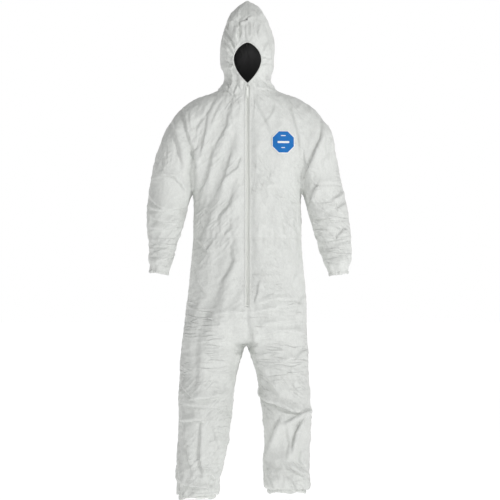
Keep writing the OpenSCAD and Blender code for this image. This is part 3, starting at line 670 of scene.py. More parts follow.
bpy.data.objects.remove(form)

# ---- the final cloth: finer mesh and crumples, then one sheet for each panel ----

draped = coords(skin.data).copy()
fine = skin.modifiers.new("fine", "SUBSURF")
fine.levels = 1
fine.boundary_smooth = "PRESERVE_CORNERS"
apply_modifiers(skin)


def read_attribute(name):
    data = skin.data.attributes[name].data
    a = np.empty(len(data), np.float32)
    data.foreach_get("value", a)
    return a


def crumple(points):
    """Small creases: soft cells that meet in crisp lines, some standing up and some lying down."""
    out = np.empty(len(points))
    for i, p in enumerate(points):
        v = Vector(p)
        v += noise.noise_vector(v * 11) * 0.020
        wide = noise.voronoi(Vector((v.x * 26, v.y * 26, v.z * 15)))[0]
        small = noise.voronoi(Vector((v.x * 60, v.y * 60, v.z * 42)) + Vector((7, 3, 5)))[0]
        some = 0.5 + 0.9 * noise.noise(v * 5 + Vector((3, 9, 1)))
        busy = 1.3 if p[2] > 0.02 else 1.0
        cells = 0.0030 * (wide[0] - 0.4) - 0.0006 * (small[0] - 0.4)
        out[i] = busy * (max(0.2, some) * cells + 0.0010 * (wide[1] - wide[0]))
        x, y, z = v
        side = 1 if x > 0 else -1
        apart = 0 if x > 0 else 5
        slanted = ((side * x - z) * 7, y * 8 + apart, (side * x + z) * 34)
        lines = ((x * 8, y * 8, z * 46), (x * 40, y * 26, z * 7), slanted)
        for share, at in zip(drawn(p[2], abs(p[0])), lines):
            if share > 0:
                ridge = max(0, 1 - 2.6 * abs(noise.noise(Vector(at))))
                thinned = Vector((at[0] * 0.8, at[1], at[2] * 0.3))
                patch = 0.55 + 0.9 * noise.noise(thinned + Vector((5, 5, 5)))
                out[i] += 0.0032 * share * max(0, patch) * ridge * ridge
    return out


def drawn(z, out):
    """How much the fine creases run level, upright and slanted, at a level and a distance from the middle."""
    middle = min(1.0, out / 0.02)
    if z > 0.02:
        return 0.0, 0.8, 0.5 * middle
    if out > 0.24 and z > -0.7:
        return (0.0, 0.7, 0.6) if z > -0.27 else (0.8, 0.0, 0.8)
    if z > -0.5:
        return 0.0, 0.5, 0.8 * middle
    if z > -0.72:
        return 0.3, 0.2, 0.7 * middle
    if z > -1.0:
        return 1.0, 0.0, 0.3 * middle
    return 0.5, 0.2, 0.9


SEAM, RUN, CALM = map(read_attribute, ("seam", "run", "calm"))
FREE, FACING, BEHIND = map(read_attribute, ("free", "facing", "behind"))
flat = np.stack([read_attribute("rest_" + axis) for axis in "xyz"], 1).astype(float)
plan = seen(flat)
creases = np.zeros(len(flat))
for points, width, height in FOLDS:
    height *= strength(points)
    ahead = FACING * folded(plan, points, 0.5 * width, 0.7 * height)
    creases += ahead + BEHIND * folded(plan, points, 0.6 * width, 0.45 * height, -1)
for points, width, height in CREASES:
    ahead = FACING * folded(plan, points, width, 1.3 * height)
    creases += ahead + BEHIND * folded(plan, points, width, 0.5 * height, -1)
final = coords(skin.data)
final += normals(skin.data) * (crumple(final) * (1 - CALM) + creases * FREE)[:, None]
# above each ankle's elastic the cloth falls in an uneven roll
for s in (1, -1):
    rise = np.where(s * flat[:, 0] > 0, flat[:, 2] - ankle_at[s][2], FAR)
    low = np.nonzero(rise < 0.07)[0]
    turn = np.arctan2(flat[low, 1] - ankle_at[s][1], flat[low, 0] - ankle_at[s][0])
    uneven = np.array([noise.noise(Vector((1.3 * math.cos(t), 1.3 * math.sin(t), 4 * s))) for t in turn])
    lobes = 0.75 + 0.9 * uneven + 0.15 * wave(8 * turn / TURN + uneven)
    roll = np.exp(-(((rise[low] - 0.016 - 0.004 * uneven) / 0.011) ** 2)) * lobes
    final[low, 0] += 0.0045 * roll * np.cos(turn)
    final[low, 1] += 0.0045 * roll * np.sin(turn)
    final[low, 2] -= 0.0125 * roll
# below the zip the cloth lies a little deeper, where the tab hangs when the suit is open
below = soft(final[:, 0], 0.016) * soft(final[:, 2] - ZIP_END / 1000 + 0.020, 0.036) * (final[:, 1] < 0)
final[:, 1] += 0.0028 * below
set_coords(skin.data, final)
NORMAL = normals(skin.data)
PANEL = np.empty(len(skin.data.polygons), int)
skin.data.attributes["panel"].data.foreach_get("value", PANEL)
LOOPS = [tuple(p.vertices) for p in skin.data.polygons]
CENTRE = np.array([p.center for p in skin.data.polygons])
surface = BVHTree.FromPolygons([tuple(v) for v in final], LOOPS)


def smooth(o):
    o.data.polygons.foreach_set("use_smooth", [True] * len(o.data.polygons))
    return o


def solid(o, thickness, offset=-1):
    m = o.modifiers.new("solid", "SOLIDIFY")
    m.thickness, m.offset, m.use_even_offset = thickness, offset, False
    apply_modifiers(o)
    return smooth(o)


DRAWN = np.array([drawn(z, abs(x)) for x, _, z in final], np.float32)
MARKED = dict(seam=SEAM, run=RUN, level=DRAWN[:, 0], upright=DRAWN[:, 1], slanted=DRAWN[:, 2])


def sheet_of(name, faces, inset=0.0, thickness=0.00045):
    """The cloth's faces as a sheet of its own, moved inward by inset."""
    used = np.unique(np.concatenate([LOOPS[i] for i in faces]))
    at = np.full(len(final), -1)
    at[used] = np.arange(len(used))
    o = mesh_object(name, final[used] - NORMAL[used] * inset, [[at[j] for j in LOOPS[i]] for i in faces])
    for label, values in MARKED.items():
        o.data.attributes.new(label, "FLOAT", "POINT").data.foreach_set("value", values[used])
    solid(o, thickness)
    # neighbouring panels are shaded alike where they meet
    o.data.normals_split_custom_set_from_vertices(np.concatenate([NORMAL[used], -NORMAL[used]]).tolist())
    return o


def declare(o, slack=1.04, strip=None):
    """Works out o's area as a sheet, enlarged by slack for the gathers, and its length: the area over the
    strip's width when one is given, else its height. Nothing is done with them.
    """
    area = sum(p.area for p in o.data.polygons) / 2 * slack
    length = area / strip if strip else float(np.ptp(coords(o.data)[:, 2]))


# ---- materials ----


class Nodes:
    """A short way to write a material's nodes."""

    def __init__(self, name):
        self.material = bpy.data.materials.new(name)
        self.material.use_nodes = True
        self.tree = self.material.node_tree
        self.shader = self.tree.nodes["Principled BSDF"]
        self.object = self.tree.nodes.new("ShaderNodeTexCoord").outputs["Object"]

    def add(self, kind, inputs=None, **values):
        n = self.tree.nodes.new(kind)
        for k, v in values.items():
            setattr(n, k, v)
        for k, v in (inputs or {}).items():
            self.set(n.inputs[k], v)
        return n

    def set(self, socket, value):
        if isinstance(value, bpy.types.NodeSocket):
            self.tree.links.new(value, socket)
        else:
            socket.default_value = value

    def math(self, operation, a, b=0.0, clamp=False):
        return self.add("ShaderNodeMath", {0: a, 1: b}, operation=operation, use_clamp=clamp).outputs[0]

    def times(self, a, b, clamp=False):
        return self.math("MULTIPLY", a, b, clamp)

    def plus(self, a, b):
        return self.math("ADD", a, b)

    def point(self, name):
        return self.add("ShaderNodeAttribute", attribute_name=name).outputs["Fac"]

    def scaled(self, scale, vector=None):
        return self.add("ShaderNodeMapping", {"Vector": vector or self.object, "Scale": scale}).outputs[0]

    def noise(self, scale, detail=2.0, roughness=0.5, distortion=0.0, vector=None):
        inputs = {"Vector": vector or self.object, "Scale": scale, "Detail": detail}
        inputs.update(Roughness=roughness, Distortion=distortion)
        return self.add("ShaderNodeTexNoise", inputs).outputs["Fac"]

    def cells(self, scale, vector):
        inputs = {"Vector": vector, "Scale": scale}
        return self.add("ShaderNodeTexVoronoi", inputs, feature="F1").outputs["Distance"]

    def ramp(self, x, low, high, out_low=0.0, out_high=1.0):
        inputs = {"Value": x, "From Min": low, "From Max": high, "To Min": out_low, "To Max": out_high}
        return self.add("ShaderNodeMapRange", inputs, interpolation_type="SMOOTHSTEP").outputs[0]

    def mix(self, factor, a, b):
        return self.add("ShaderNodeMix", {0: factor, 6: a, 7: b}, data_type="RGBA").outputs[2]

    def bump(self, height, distance, strength=1.0, after=None):
        n = self.add("ShaderNodeBump", {"Height": height, "Distance": distance, "Strength": strength})
        if after is not None:
            self.set(n.inputs["Normal"], after)
        return n.outputs["Normal"]

    def finish(self, **inputs):
        for k, v in inputs.items():
            self.set(self.shader.inputs[k.replace("_", " ")], v)
        return self.material


def rgb(r, g, b):
    return (r, g, b, 1.0)


def shade(colour, k):
    return rgb(*(k * c for c in colour[:3]))


def spunbond(name, colour, crease=1.0):
    """Thin crisp nonwoven: matted fibres, small creases with painted shade along them, and a dented line of
    stitching along its seams.
    """
    n = Nodes(name)
    warp = n.add("ShaderNodeTexNoise", {"Vector": n.object, "Scale": 13.0, "Detail": 2.0}).outputs["Color"]
    shift = n.add("ShaderNodeVectorMath", {0: warp, "Scale": 0.020}, operation="SCALE").outputs[0]
    where = n.add("ShaderNodeVectorMath", {0: n.object, 1: shift}, operation="ADD").outputs[0]
    fibres = n.noise(620.0, 3.0, 0.62, 2.2)
    strands = n.noise(240.0, 4.0, 0.7, 3.5, n.scaled((1.0, 1.0, 0.45)))
    mats = n.noise(105.0, 3.0, 0.7, 1.2, n.scaled((1.0, 1.0, 0.6)))
    tone = n.plus(n.times(fibres, 0.2), n.plus(n.times(strands, 0.35), n.times(mats, 0.45)))
    base = n.mix(n.ramp(tone, 0.40, 0.60), shade(colour, 0.915), shade(colour, 1.02))
    seam = n.point("seam")
    line = n.ramp(seam, 0.0003, 0.0012, 1.0, 0.0)
    thread = n.ramp(n.math("SINE", n.times(n.point("run"), TURN / 0.0034)), 0.1, 0.6)
    stitch = n.times(thread, n.ramp(seam, 0.0008, 0.0030, 1.0, 0.0))
    base = n.mix(n.times(line, 0.12), base, shade(colour, 0.62))
    # the creases that are drawn: level, upright, and slanted down from the middle to each side; they dent the
    # surface, and their darkening of the colour is painted shade
    x, y, z = n.add("ShaderNodeSeparateXYZ", {0: where}).outputs
    apart = n.times(n.math("LESS_THAN", x, 0.0), 5.0)
    x = n.math("ABSOLUTE", x)
    slant = {0: n.times(n.math("SUBTRACT", x, z), 8.0), 1: n.plus(n.times(y, 8.0), apart)}
    slant[2] = n.times(n.plus(x, z), 36.0)
    kinds = (
        ("level", n.scaled((8.0, 8.0, 46.0), where), 1.0),
        ("upright", n.scaled((42.0, 26.0, 7.0), where), 0.9),
        ("slanted", n.add("ShaderNodeCombineXYZ", slant).outputs[0], 0.7),
    )
    patches = n.ramp(n.noise(6.5, 2.0, 0.5), 0.44, 0.60, 0.12, 1.0)
    lines = 0.0
    for label, vector, weight in kinds:
        off = n.math("ABSOLUTE", n.math("SUBTRACT", n.noise(1.0, 1.0, 0.5, 0.0, vector), 0.5))
        ridge = n.math("POWER", n.math("SUBTRACT", 1.0, n.times(off, 9.0), True), 2.0)
        lines = n.plus(lines, n.times(ridge, n.times(n.point(label), weight)))
    lines = n.times(lines, patches)
    # painted shade: the cloth's colour is darkened along the drawn creases
    base = n.mix(n.times(lines, 0.22, True), base, shade(colour, 0.80))
    normal = n.bump(n.cells(34.0, n.scaled((1.0, 1.0, 0.6), where)), 0.0040 * crease, 0.6)
    normal = n.bump(lines, 0.0030 * crease, 0.8, normal)
    normal = n.bump(n.cells(105.0, n.scaled((1.0, 1.0, 0.75), where)), 0.0008 * crease, 0.6, normal)
    normal = n.bump(n.noise(80.0, 5.0, 0.7, 0.6), 0.0028 * crease, 0.5, normal)
    normal = n.bump(fibres, 0.00012, 0.6, normal)
    normal = n.bump(strands, 0.0004, 0.6, normal)
    normal = n.bump(n.math("SUBTRACT", n.times(stitch, 0.5), line), 0.0005, 0.5, normal)
    n.finish(Sheen_Weight=0.12, Sheen_Roughness=0.5, Specular_IOR_Level=0.36)
    return n.finish(Base_Color=base, Normal=normal, Roughness=n.ramp(strands, 0.3, 0.7, 0.50, 0.66))


def plain(name, colour, roughness=0.5, grain=400.0, depth=0.0001, **more):
    n = Nodes(name)
    g = n.noise(grain, 3.0, 0.6)
    base = n.mix(n.ramp(g, 0.35, 0.65), shade(colour, 0.93), colour)
    return n.finish(Base_Color=base, Normal=n.bump(g, depth, 0.6), Roughness=roughness, **more)


def woven(name, colour, pitch, depth=0.0001, roughness=0.7):
    """A tape woven from fine yarn, in rows at a pitch in metres."""
    n = Nodes(name)
    rows = {"Vector": n.object, "Scale": 0.314 / pitch, "Distortion": 0.4, "Detail": 1.0}
    yarn = n.times(*(n.add("ShaderNodeTexWave", rows, bands_direction=way).outputs["Fac"] for way in "ZX"))
    base = n.mix(yarn, shade(colour, 0.86), colour)
    return n.finish(Base_Color=base, Normal=n.bump(yarn, depth, 0.8), Roughness=roughness, Sheen_Weight=0.2)


def painted_shade_inside(name):
    """The hood's inside, coloured as painted shade: dark grey, almost black towards its lower end."""
    n = Nodes(name)
    z = n.add("ShaderNodeSeparateXYZ", {0: n.object}).outputs[2]
    # painted shade: the colour gets darker towards the lower end of the hood's inside
    depth = n.ramp(z, 0.05, 0.24)
    g = n.noise(500.0, 3.0, 0.6)
    base = n.mix(depth, rgb(0.045, 0.045, 0.046), rgb(0.21, 0.21, 0.212))
    normal = n.bump(g, 0.0001, 0.4)
    return n.finish(Base_Color=base, Normal=normal, Roughness=0.85, Specular_IOR_Level=0.15)


M = {
    "suit_cloth": spunbond("spunbond cloth", rgb(0.715, 0.729, 0.706)),
    "hem_cloth": spunbond("hem cloth", rgb(0.71, 0.724, 0.701), 0.6),
    "binding_tape": woven("binding tape", rgb(0.72, 0.73, 0.70), 0.0009),
    "elastic": woven("elastic", rgb(0.78, 0.78, 0.76), 0.0012, 0.0002),
    # the hood's inside is given a near-black colour: painted shade
    "hood_inside": painted_shade_inside("hood inside painted shade"),
    "zip_tape": woven("zip tape", rgb(0.84, 0.855, 0.82), 0.0008),
    "zip_plastic": plain("zip plastic", rgb(0.84, 0.855, 0.82), 0.34, 900.0, 0.00003),
    "label_white": plain("label white", rgb(0.86, 0.86, 0.85), 0.48, 700.0),
    "label_blue": plain("label blue", rgb(0.012, 0.160, 0.490), 0.6, 500.0, Specular_IOR_Level=0.2),
    "size_label": woven("size label", rgb(0.82, 0.82, 0.80), 0.0007),
    "thread": plain("thread", rgb(0.78, 0.79, 0.765), 0.6, 1500.0, 0.00005),
}


def paint(o, slot):
    o.data.materials.clear()
    o.data.materials.append(M[slot])
    if slot in ("suit_cloth", "hem_cloth") and "seam" not in o.data.attributes:
        away = o.data.attributes.new("seam", "FLOAT", "POINT")
        away.data.foreach_set("value", np.full(len(o.data.vertices), 0.05, np.float32))
    return o


# ---- panels ----

QUARTERS = ["front_left", "front_right", "back_left", "back_right"]


def cloth_panel(name, *numbers):
    return paint(sheet_of(name + "_cloth", np.nonzero(np.isin(PANEL, numbers))[0]), "suit_cloth")


for q, quarter in enumerate(QUARTERS):
    side = quarter.split("_")[1]
    s = 1 if side == "left" else -1
    bodice = cloth_panel("bodice_" + quarter, BODICE + q)
    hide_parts("bodice_" + quarter)
    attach(bodice, "suit_body")
    declare(bodice)
    trouser = cloth_panel("trouser_" + quarter, TROUSER + q)
    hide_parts("trouser_" + quarter, "leg_" + quarter, *(["crotch_gusset"] if q == 0 else []))
    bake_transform(trouser)
    declare(trouser)
    sleeve = cloth_panel("sleeve_" + quarter, SLEEVE + q)
    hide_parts("raglan_" + quarter, "sleeve_" + quarter)
    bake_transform(sleeve)
    declare(sleeve)
for k, side in enumerate(("left", "right")):
    hood = cloth_panel("hood_" + side, COWL + k, COWL + 2 + k)
    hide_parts("hood_panel_" + side, "hood_neck_" + side)
    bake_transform(hood)
    declare(hood)

# ---- inside: hood lining coloured as painted shade, neck binding, the waist's elastic in its tunnel ----

lined = np.nonzero((PANEL >= COWL) & (CENTRE[:, 2] > 0.046))[0]
# the lining's near-black colour is painted shade inside the hood
painted_shade_lining = paint(sheet_of("hood_lining_painted_shade", lined, 0.0035), "hood_inside")
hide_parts("hood_liner")
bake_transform(painted_shade_lining)
declare(painted_shade_lining)


def inner_band(name, slot, level, half, inset, thickness, front_limit, *nodes):
    faces = np.nonzero(np.abs(CENTRE[:, 2] - level / 1000) < half / 1000)[0]
    limit = [NECK_HALF if level > -100 else raglan_x(z) for z in CENTRE[faces, 2]]
    faces = faces[(np.abs(CENTRE[faces, 0]) < limit) & (CENTRE[faces, 1] > front_limit)]
    o = paint(sheet_of(name, faces, inset / 1000, thickness / 1000), slot)
    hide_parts(*nodes)
    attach(o, "suit_body")
    declare(o, slack=1.1, strip=(2 * half + 2) / 1000)


inner_band("neck_binding_tape", "binding_tape", 4, 8, 1.2, 0.8, -0.075, "neck_binding")
inner_band("waist_tunnel_tape", "hem_cloth", WAIST, 14, 0.9, 0.4, -0.066, "waist_tunnel")
inner_band("waist_elastic_band", "elastic", WAIST, 8, 1.9, 1.0, -0.060, "waist_elastic")


# ---- hems and stitching ----


def grid(n, m, rows_meet=False, columns_meet=False, first=0):
    """The faces between n rows of m points each."""
    faces = []
    for i in range(n if rows_meet else n - 1):
        for a in range(m if columns_meet else m - 1):
            j, b = (i + 1) % n, (a + 1) % m
            faces.append((first + i * m + a, first + j * m + a, first + j * m + b, first + i * m + b))
    return faces


def unit(a):
    return a / np.linalg.norm(a, axis=1)[:, None]


def angles(n):
    return np.linspace(0, TURN, n, False)


def clamp(x):
    return min(1, max(0, x))


def ring_of(name, rows):
    """A closed surface through rings of points: rows is (around, section, 3)."""
    rows = np.array(rows)
    return mesh_object(name, rows.reshape(-1, 3), grid(*rows.shape[:2], True, True))


def outward(o):
    bm = bmesh.new()
    bm.from_mesh(o.data)
    bmesh.ops.recalc_face_normals(bm, faces=bm.faces)
    bm.to_mesh(o.data)
    bm.free()
    return smooth(o)


def stitches(name, path, up, pitch=0.0033, length=0.0023, radius=0.00030):
    """Short thread stitches along a path of points that lies on cloth whose outward normals are up."""
    path, up = np.array(path), np.array(up)
    steps = np.linalg.norm(np.diff(path, axis=0), axis=1)
    along = np.concatenate([[0], np.cumsum(steps)])
    at = np.arange(pitch / 2, along[-1], pitch)

    def value(table, t):
        return np.stack([np.interp(t, along, table[:, k]) for k in range(3)], 1)

    d = value(path, np.minimum(at + length / 2, along[-1])) - value(path, np.maximum(at - length / 2, 0))
    d = unit(d)
    side = unit(np.cross(d, value(up, at)))
    n = np.cross(side, d)
    verts, faces = [], []
    for c, t, a, b in zip(value(path, at), d, side, n):
        k = len(verts)
        for u, w in ((-1, 0.35), (-0.6, 0.9), (0, 1.0), (0.6, 0.9), (1, 0.35)):
            centre = c + t * u * length / 2
            lift = 0.6 * (1 - u * u) * radius
            for i in range(6):
                g = math.pi * i / 3
                verts.append(centre + (a * math.cos(g) + b * math.sin(g)) * w * radius + b * lift)
        faces += [f[:1] + f[:0:-1] for f in grid(5, 6, False, True, k)]
        faces += [tuple(k + 5 - i for i in range(6)), tuple(k + 24 + i for i in range(6))]
    return paint(smooth(mesh_object(name, verts, faces)), "thread")


# the section of each hem in millimetres: how far out, how far down
SECTIONS = {
    "wrist": [(34.5, 0.0), (34.8, 2.4), (35.7, 4.2), (36.1, 6.4), (35.9, 9.0), (35.0, 11.2), (33.9, 12.0),
              (32.6, 11.6), (32.0, 9.5), (31.8, 6.5), (31.9, 3.0), (32.8, 0.4)],
    "ankle": [(65.4, 0.0), (65.7, 2.6), (66.8, 4.8), (67.4, 8.0), (67.2, 11.5), (66.2, 14.2), (64.8, 15.0),
              (63.4, 14.4), (62.6, 11.5), (62.4, 7.5), (62.6, 3.0), (63.6, 0.4)],
}
DROOP = {"wrist": 1.2, "ankle": 3.0}
STRIP = {"wrist": 0.0142, "ankle": 0.0173}
for s, side in ((1, "left"), (-1, "right")):
    for kind, at, axis in (("wrist", wrist_at[s], wrist_axis[s]), ("ankle", ankle_at[s], ankle_axis)):
        u = np.array([axis[2], 0, -axis[0]]) * -1
        v = np.array([0, 1.0, 0])
        n = 360
        rows, ring, normal = [], [], []
        for i in range(n):
            g = TURN * i / n
            out = Vector(u * math.cos(g) + v * math.sin(g))
            p = float(pleat(kind, s, math.atan2(out[1], out[0])))
            droop = DROOP[kind] * noise.noise(out * 1.6 + Vector((s * 3, 1, 2))) + 0.5 * noise.noise(out * 7)
            row = []
            for k, (r, a) in enumerate(SECTIONS[kind]):
                down = axis * (a * (1 + droop / 8) + (0 if a < 1 else droop)) / 1000
                row.append(at + down + out * (r / 1000 + p * (1.0 if k < 7 else 0.5)))
            rows.append(row)
            ring.append(at + axis * 0.0008 + out * (CUFF_R[kind] + p + 0.0002))
            normal.append(out)
        hem = paint(outward(ring_of(kind + "_hem_" + side + "_gathered", rows)), "hem_cloth")
        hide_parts(kind + "_hem_" + side, kind + "_elastic_" + side)
        body = ("sleeve_" if kind == "wrist" else "leg_") + side
        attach(hem, body)
        declare(hem, slack=1.15, strip=STRIP[kind])
        sewn = stitches(kind + "_stitches_" + side, ring + ring[:1], normal + normal[:1])
        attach(sewn, body)

# the hem round the face follows the cloth's own edge
edge = np.nonzero(to_face < 0.0022)[0]
apart = (OUTLINE[None, :, 0] - X[edge, None]) ** 2 + (OUTLINE[None, :, 1] - Z[edge, None]) ** 2
turn_at_edge = apart.argmin(1)
order = np.argsort(turn_at_edge)
depth_at = np.interp(np.arange(240), turn_at_edge[order], draped[edge[order], 1], period=240)
for _ in range(3):
    depth_at = (np.roll(depth_at, 1) + 2 * depth_at + np.roll(depth_at, -1)) / 4
path = np.stack([OUTLINE[:, 0], depth_at - 0.0008, OUTLINE[:, 1]], 1)
closed = np.append(path, path[:1], 0)
dense = np.stack([np.interp(np.arange(960) / 4, np.arange(241), column) for column in closed.T], 1)
ahead = unit(np.roll(dense, -3, 0) - np.roll(dense, 3, 0))
middle = np.array([0, 0, FACE_MIDDLE])
rows, ring, normal = [], [], []
for i, (p, t) in enumerate(zip(dense, ahead)):
    out = p - middle
    out[1] = 0
    out = out - t * (out @ t)
    out /= np.linalg.norm(out)
    forward = np.cross(out, t)
    forward = forward if forward[1] < 0 else -forward
    g = wave(i * 62 / 960 + 0.6 * math.sin(i / 31)) + 0.5 * wave(i * 23 / 960 + 0.3)
    p = p + out * 0.0017
    row = []
    for a in angles(16):
        radius = 0.0023 + 0.00045 * g * max(0, math.cos(a - 1.2))
        row.append(p + (out * math.cos(a) + forward * math.sin(a)) * radius)
    rows.append(row)
    ring.append(p + out * 0.0018 + forward * (0.0017 + 0.0003 * g))
    normal.append(out * 0.6 + forward * 0.8)
hem = paint(outward(ring_of("face_hem_gathered", rows)), "hem_cloth")
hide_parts("face_hem", "face_elastic")
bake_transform(hem)
declare(hem, slack=1.15, strip=0.0071)
sewn = stitches("face_stitches", ring + ring[:1], normal + normal[:1])
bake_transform(sewn)

# ---- the zip: folded edges of cloth over the tapes ----

# the section of a fold, in millimetres: how far from the middle, how far behind the cloth's edge
FOLD = [(11.8, 0.5), (11.6, -0.6), (10.2, -0.95), (8.2, -1.05), (6.9, -0.9),
        (6.2, -0.3), (6.1, 0.6), (6.2, 2.0), (6.6, 3.6), (8.4, 4.3)]
for s, side in ((1, "left"), (-1, "right")):
    rows, ring, normal = [], [], []
    for z in np.linspace(FACE[0] + 1, ZIP_END - 1, 400):
        zf = -zip_depth(z, CLOTH_PROUD)
        sway = noise.noise(Vector((s * 3.1, 0, z * 0.013))) * 0.7
        sway += noise.noise(Vector((s * 5.7, 1, z * 0.045))) * 0.3 + 0.3
        lift = noise.noise(Vector((s * 1.7, 4, z * 0.02))) * 0.5 + 0.7 * clamp((ZIP_END + 45 - z) / 15)
        close = 4.4 * clamp(max((ZIP_END + 4 - z) / 4, (z - 32) / 5))
        row = []
        for k, (x, y) in enumerate(FOLD):
            inner = clamp((11.6 - x) / 3) if k < 8 else 0.8
            row.append((s * (x + (sway - close) * inner) / 1000, (zf + y + lift * inner) / 1000, z / 1000))
        rows.append(row)
        ring.append(np.array(row[2]) + np.array([s * 0.0002, -0.0002, 0]))
        normal.append((0, -1.0, 0))
    rows = np.array(rows)
    faces = grid(*rows.shape[:2])
    if s > 0:
        faces = [tuple(reversed(f)) for f in faces]
    fold = paint(solid(mesh_object("zip_fold_" + side, rows.reshape(-1, 3), faces), 0.0004), "suit_cloth")
    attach(fold, "suit_body")
    declare(fold)
    sewn = stitches("zip_stitches_" + side, ring, normal)
    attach(sewn, "suit_body")

# the coils of the two sides lock into each other, half a turn apart, over a core
PITCH, TOP, LOW = 2.4, 30, -744.4
PER_TURN = 12
for s, side in ((1, "left"), (-1, "right")):
    turns = int((TOP - LOW) / PITCH)
    wire = []
    for i in range(turns * PER_TURN):
        g = TURN * i / PER_TURN
        z = TOP - PITCH * (i / PER_TURN + (0.5 if s < 0 else 0))
        wire.append(np.array([s * (1.65 - 1.75 * math.cos(g)), 0.9 * math.sin(g) - zip_depth(z), z]) / 1000)
    wire = np.array(wire)
    run_ = unit(np.gradient(wire, axis=0))
    aside = unit(np.cross(run_, [0, 0, 1.0]))
    over = np.cross(run_, aside)
    verts = []
    for p, a, o in zip(wire, aside, over):
        verts += [p + (a * math.cos(g) + o * math.sin(g)) * 0.00042 for g in angles(5)]
    faces = grid(len(wire), 5, False, True)
    faces += [(4, 3, 2, 1, 0), tuple(len(verts) - 5 + a for a in range(5))]
    k = len(verts)
    for z in (TOP, LOW):
        for g in angles(12):
            x = s * (1.85 + 1.7 * math.cos(g))
            verts.append(np.array([x, 0.55 * math.sin(g) - zip_depth(z), z]) / 1000)
    faces += grid(2, 12, False, True, k)
    faces += [tuple(k + 11 - a for a in range(12)), tuple(k + 12 + a for a in range(12))]
    coil = paint(outward(mesh_object("zip_coil_" + side, verts, faces)), "zip_plastic")
    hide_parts("zip_teeth_" + side)
    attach(coil, "suit_body")

# ---- the chest label: a stiff patch that lies on the cloth ----

LABEL_X, LABEL_Z, LABEL_HALF = 0.1270, -0.1679, 0.0409
SAMPLES = 61
span = np.linspace(-0.048, 0.048, SAMPLES)
height = np.empty((SAMPLES, SAMPLES))
for i, dx in enumerate(span):
    for j, dz in enumerate(span):
        hit = surface.ray_cast(Vector((LABEL_X + dx, -0.5, LABEL_Z + dz)), Vector((0, 1, 0)))[0]
        height[i, j] = hit.y if hit else -0.09
raw = height.copy()


def blurred(h, times):
    for _ in range(times):
        p = np.pad(h, 1, mode="edge")
        h = (p[:-2, 1:-1] + p[2:, 1:-1] + p[1:-1, :-2] + p[1:-1, 2:] + 4 * h) / 8
    return h


height = blurred(raw, 60)
height -= max(0.0, float((height - raw).max()) - 0.0012)
height = blurred(np.minimum(height, raw - 0.0004), 6)


def on_label(x, z, lift):
    """A point of the patch, x across and z up from its middle, in metres."""
    i, j = (min(SAMPLES - 1.001, max(0, (d - span[0]) / (span[1] - span[0]))) for d in (x, z))
    a, b, fi, fj = int(i), int(j), i % 1, j % 1
    lower, upper = (height[a, k] * (1 - fi) + height[a + 1, k] * fi for k in (b, b + 1))
    return (LABEL_X + x, lower * (1 - fj) + upper * fj - lift, LABEL_Z + z)


def on_octagon(half, a, lift, share=1.0):
    """A point of the patch at a share of the way to an octagon's edge, in the direction a."""
    reach = half / math.cos((a + math.pi / 8) % (math.pi / 4) - math.pi / 8) * share
    return on_label(reach * math.cos(a), reach * math.sin(a), lift)


def octagon(name, half, lift, thickness):
    around, out = 96, 26
    verts = [on_label(0, 0, lift)]
    verts += [on_octagon(half, a, lift, r / out) for r in range(1, out + 1) for a in angles(around)]
    faces = [(0, 1 + i, 1 + (i + 1) % around) for i in range(around)] + grid(out, around, False, True, 1)
    return solid(mesh_object(name, verts, faces), thickness)


border = paint(octagon("label_border", LABEL_HALF, 0.0004, 0.0006), "label_white")
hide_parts("label_border_patch")
field_blue = paint(octagon("label_field", LABEL_HALF - 0.0034, 0.0006, 0.0003), "label_blue")
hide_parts("label_face")
# three plain printed bars: (centre across, centre up, width, height) in millimetres
MARKS = [(0, 22.5, 17, 3.0), (0.5, -0.5, 42, 7.0), (0, -20, 13, 2.4)]
verts, faces = [], []
for mx, mz, w, h in MARKS:
    faces += grid(25, 6, first=len(verts))
    for u in np.linspace(-1, 1, 25):
        for v in np.linspace(-1, 1, 6):
            trim = 0.3 * h * (1 - math.sqrt(1 - 0.999 * v * v)) * abs(u) ** 9
            x = (mx + u * w / 2 - math.copysign(trim, u)) / 1000
            verts.append(on_label(x, (mz + v * h / 2) / 1000, 0.00072))
marks = paint(solid(mesh_object("label_marks", verts, faces), 0.00015), "label_white")
ring = [on_octagon(LABEL_HALF - 0.0017, a, 0.00045) for a in np.linspace(0, TURN, 160)]
sewn = stitches("label_stitches", ring, [(0, -1, 0)] * len(ring), 0.0028, 0.0018, 0.00022)
for o in (border, field_blue, marks, sewn):
    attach(o, "suit_body")
declare(border, 1.0)
declare(field_blue, 1.0)

# ---- CAD nodes that are seen as they are ----

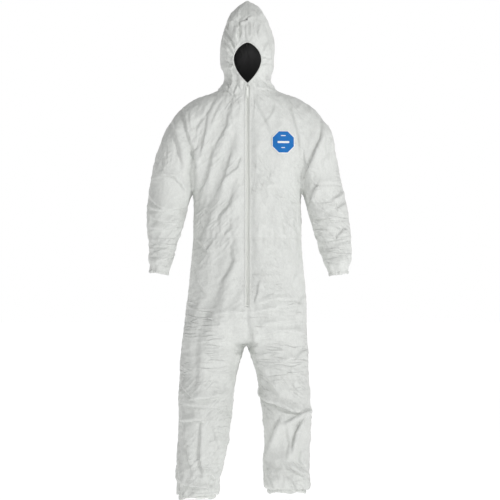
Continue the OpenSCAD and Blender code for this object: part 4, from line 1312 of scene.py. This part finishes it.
SEEN = {
    "zip_tape": ("zip_tape_left", "zip_tape_right"),
    "zip_plastic": ("zip_slider", "pull_tab", "zip_top_stops", "zip_bottom_stop"),
    "size_label": ("size_label",),
}
for slot, names in SEEN.items():
    for name in names:
        o = paint(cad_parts[name], slot)
        if name in ("zip_slider", "pull_tab"):
            b = o.modifiers.new("rounded", "BEVEL")
            b.width, b.segments, b.limit_method, b.angle_limit = 0.0004, 3, "ANGLE", math.radians(35)
bpy.data.objects.remove(skin)

# ---- floor, backdrop, light and camera ----


def glow(name, strength, grey):
    """A white glow of a strength, over a grey that other light falls on."""
    m = bpy.data.materials.new(name)
    m.use_nodes = True
    b = m.node_tree.nodes["Principled BSDF"].inputs
    b["Base Color"].default_value = rgb(grey, grey, grey)
    b["Specular IOR Level"].default_value = 0
    b["Roughness"].default_value = 1
    b["Emission Color"].default_value = rgb(1, 1, 1)
    b["Emission Strength"].default_value = strength
    return m


def plane(name, corners, material):
    o = mesh_object(name, corners, [(0, 1, 2, 3)])
    o.data.materials.append(material)


FLOOR = -1.4450
near, far = ((-40, -30, FLOOR), (40, -30, FLOOR)), ((40, 30, FLOOR), (-40, 30, FLOOR))
plane("floor", near + far, glow("pale floor", 0.8, 0.5))
plane("backdrop", far[::-1] + ((40, 30, 40), (-40, 30, 40)), glow("white backdrop", 1.0, 0.0))

world = bpy.data.worlds.new("studio")
scene.world = world
world.use_nodes = True
background = world.node_tree.nodes["Background"].inputs
background["Color"].default_value = rgb(1, 1, 1)
background["Strength"].default_value = 0.27


def area_light(name, place, size, power, target):
    data = bpy.data.lights.new(name, "AREA")
    data.shape, data.size, data.energy = "DISK", size, power
    o = bpy.data.objects.new(name, data)
    collection.objects.link(o)
    o.location = place
    o.rotation_euler = (Vector(target) - Vector(place)).to_track_quat("-Z", "Y").to_euler()


area_light("key", (3.4, -3.4, 1.5), 0.9, 88, (0, 0, -0.5))
area_light("fill", (-0.4, -9.0, 0.6), 1.5, 100, (0, 0, -0.1))
camera = bpy.data.cameras.new("camera")
camera.lens, camera.sensor_width = 250, 36
eye = bpy.data.objects.new("camera", camera)
collection.objects.link(eye)
eye.location = (0.009, -12.4, -0.551)
eye.rotation_euler = (math.pi / 2, 0, 0)
scene.camera = eye
scene.view_settings.view_transform = "Standard"
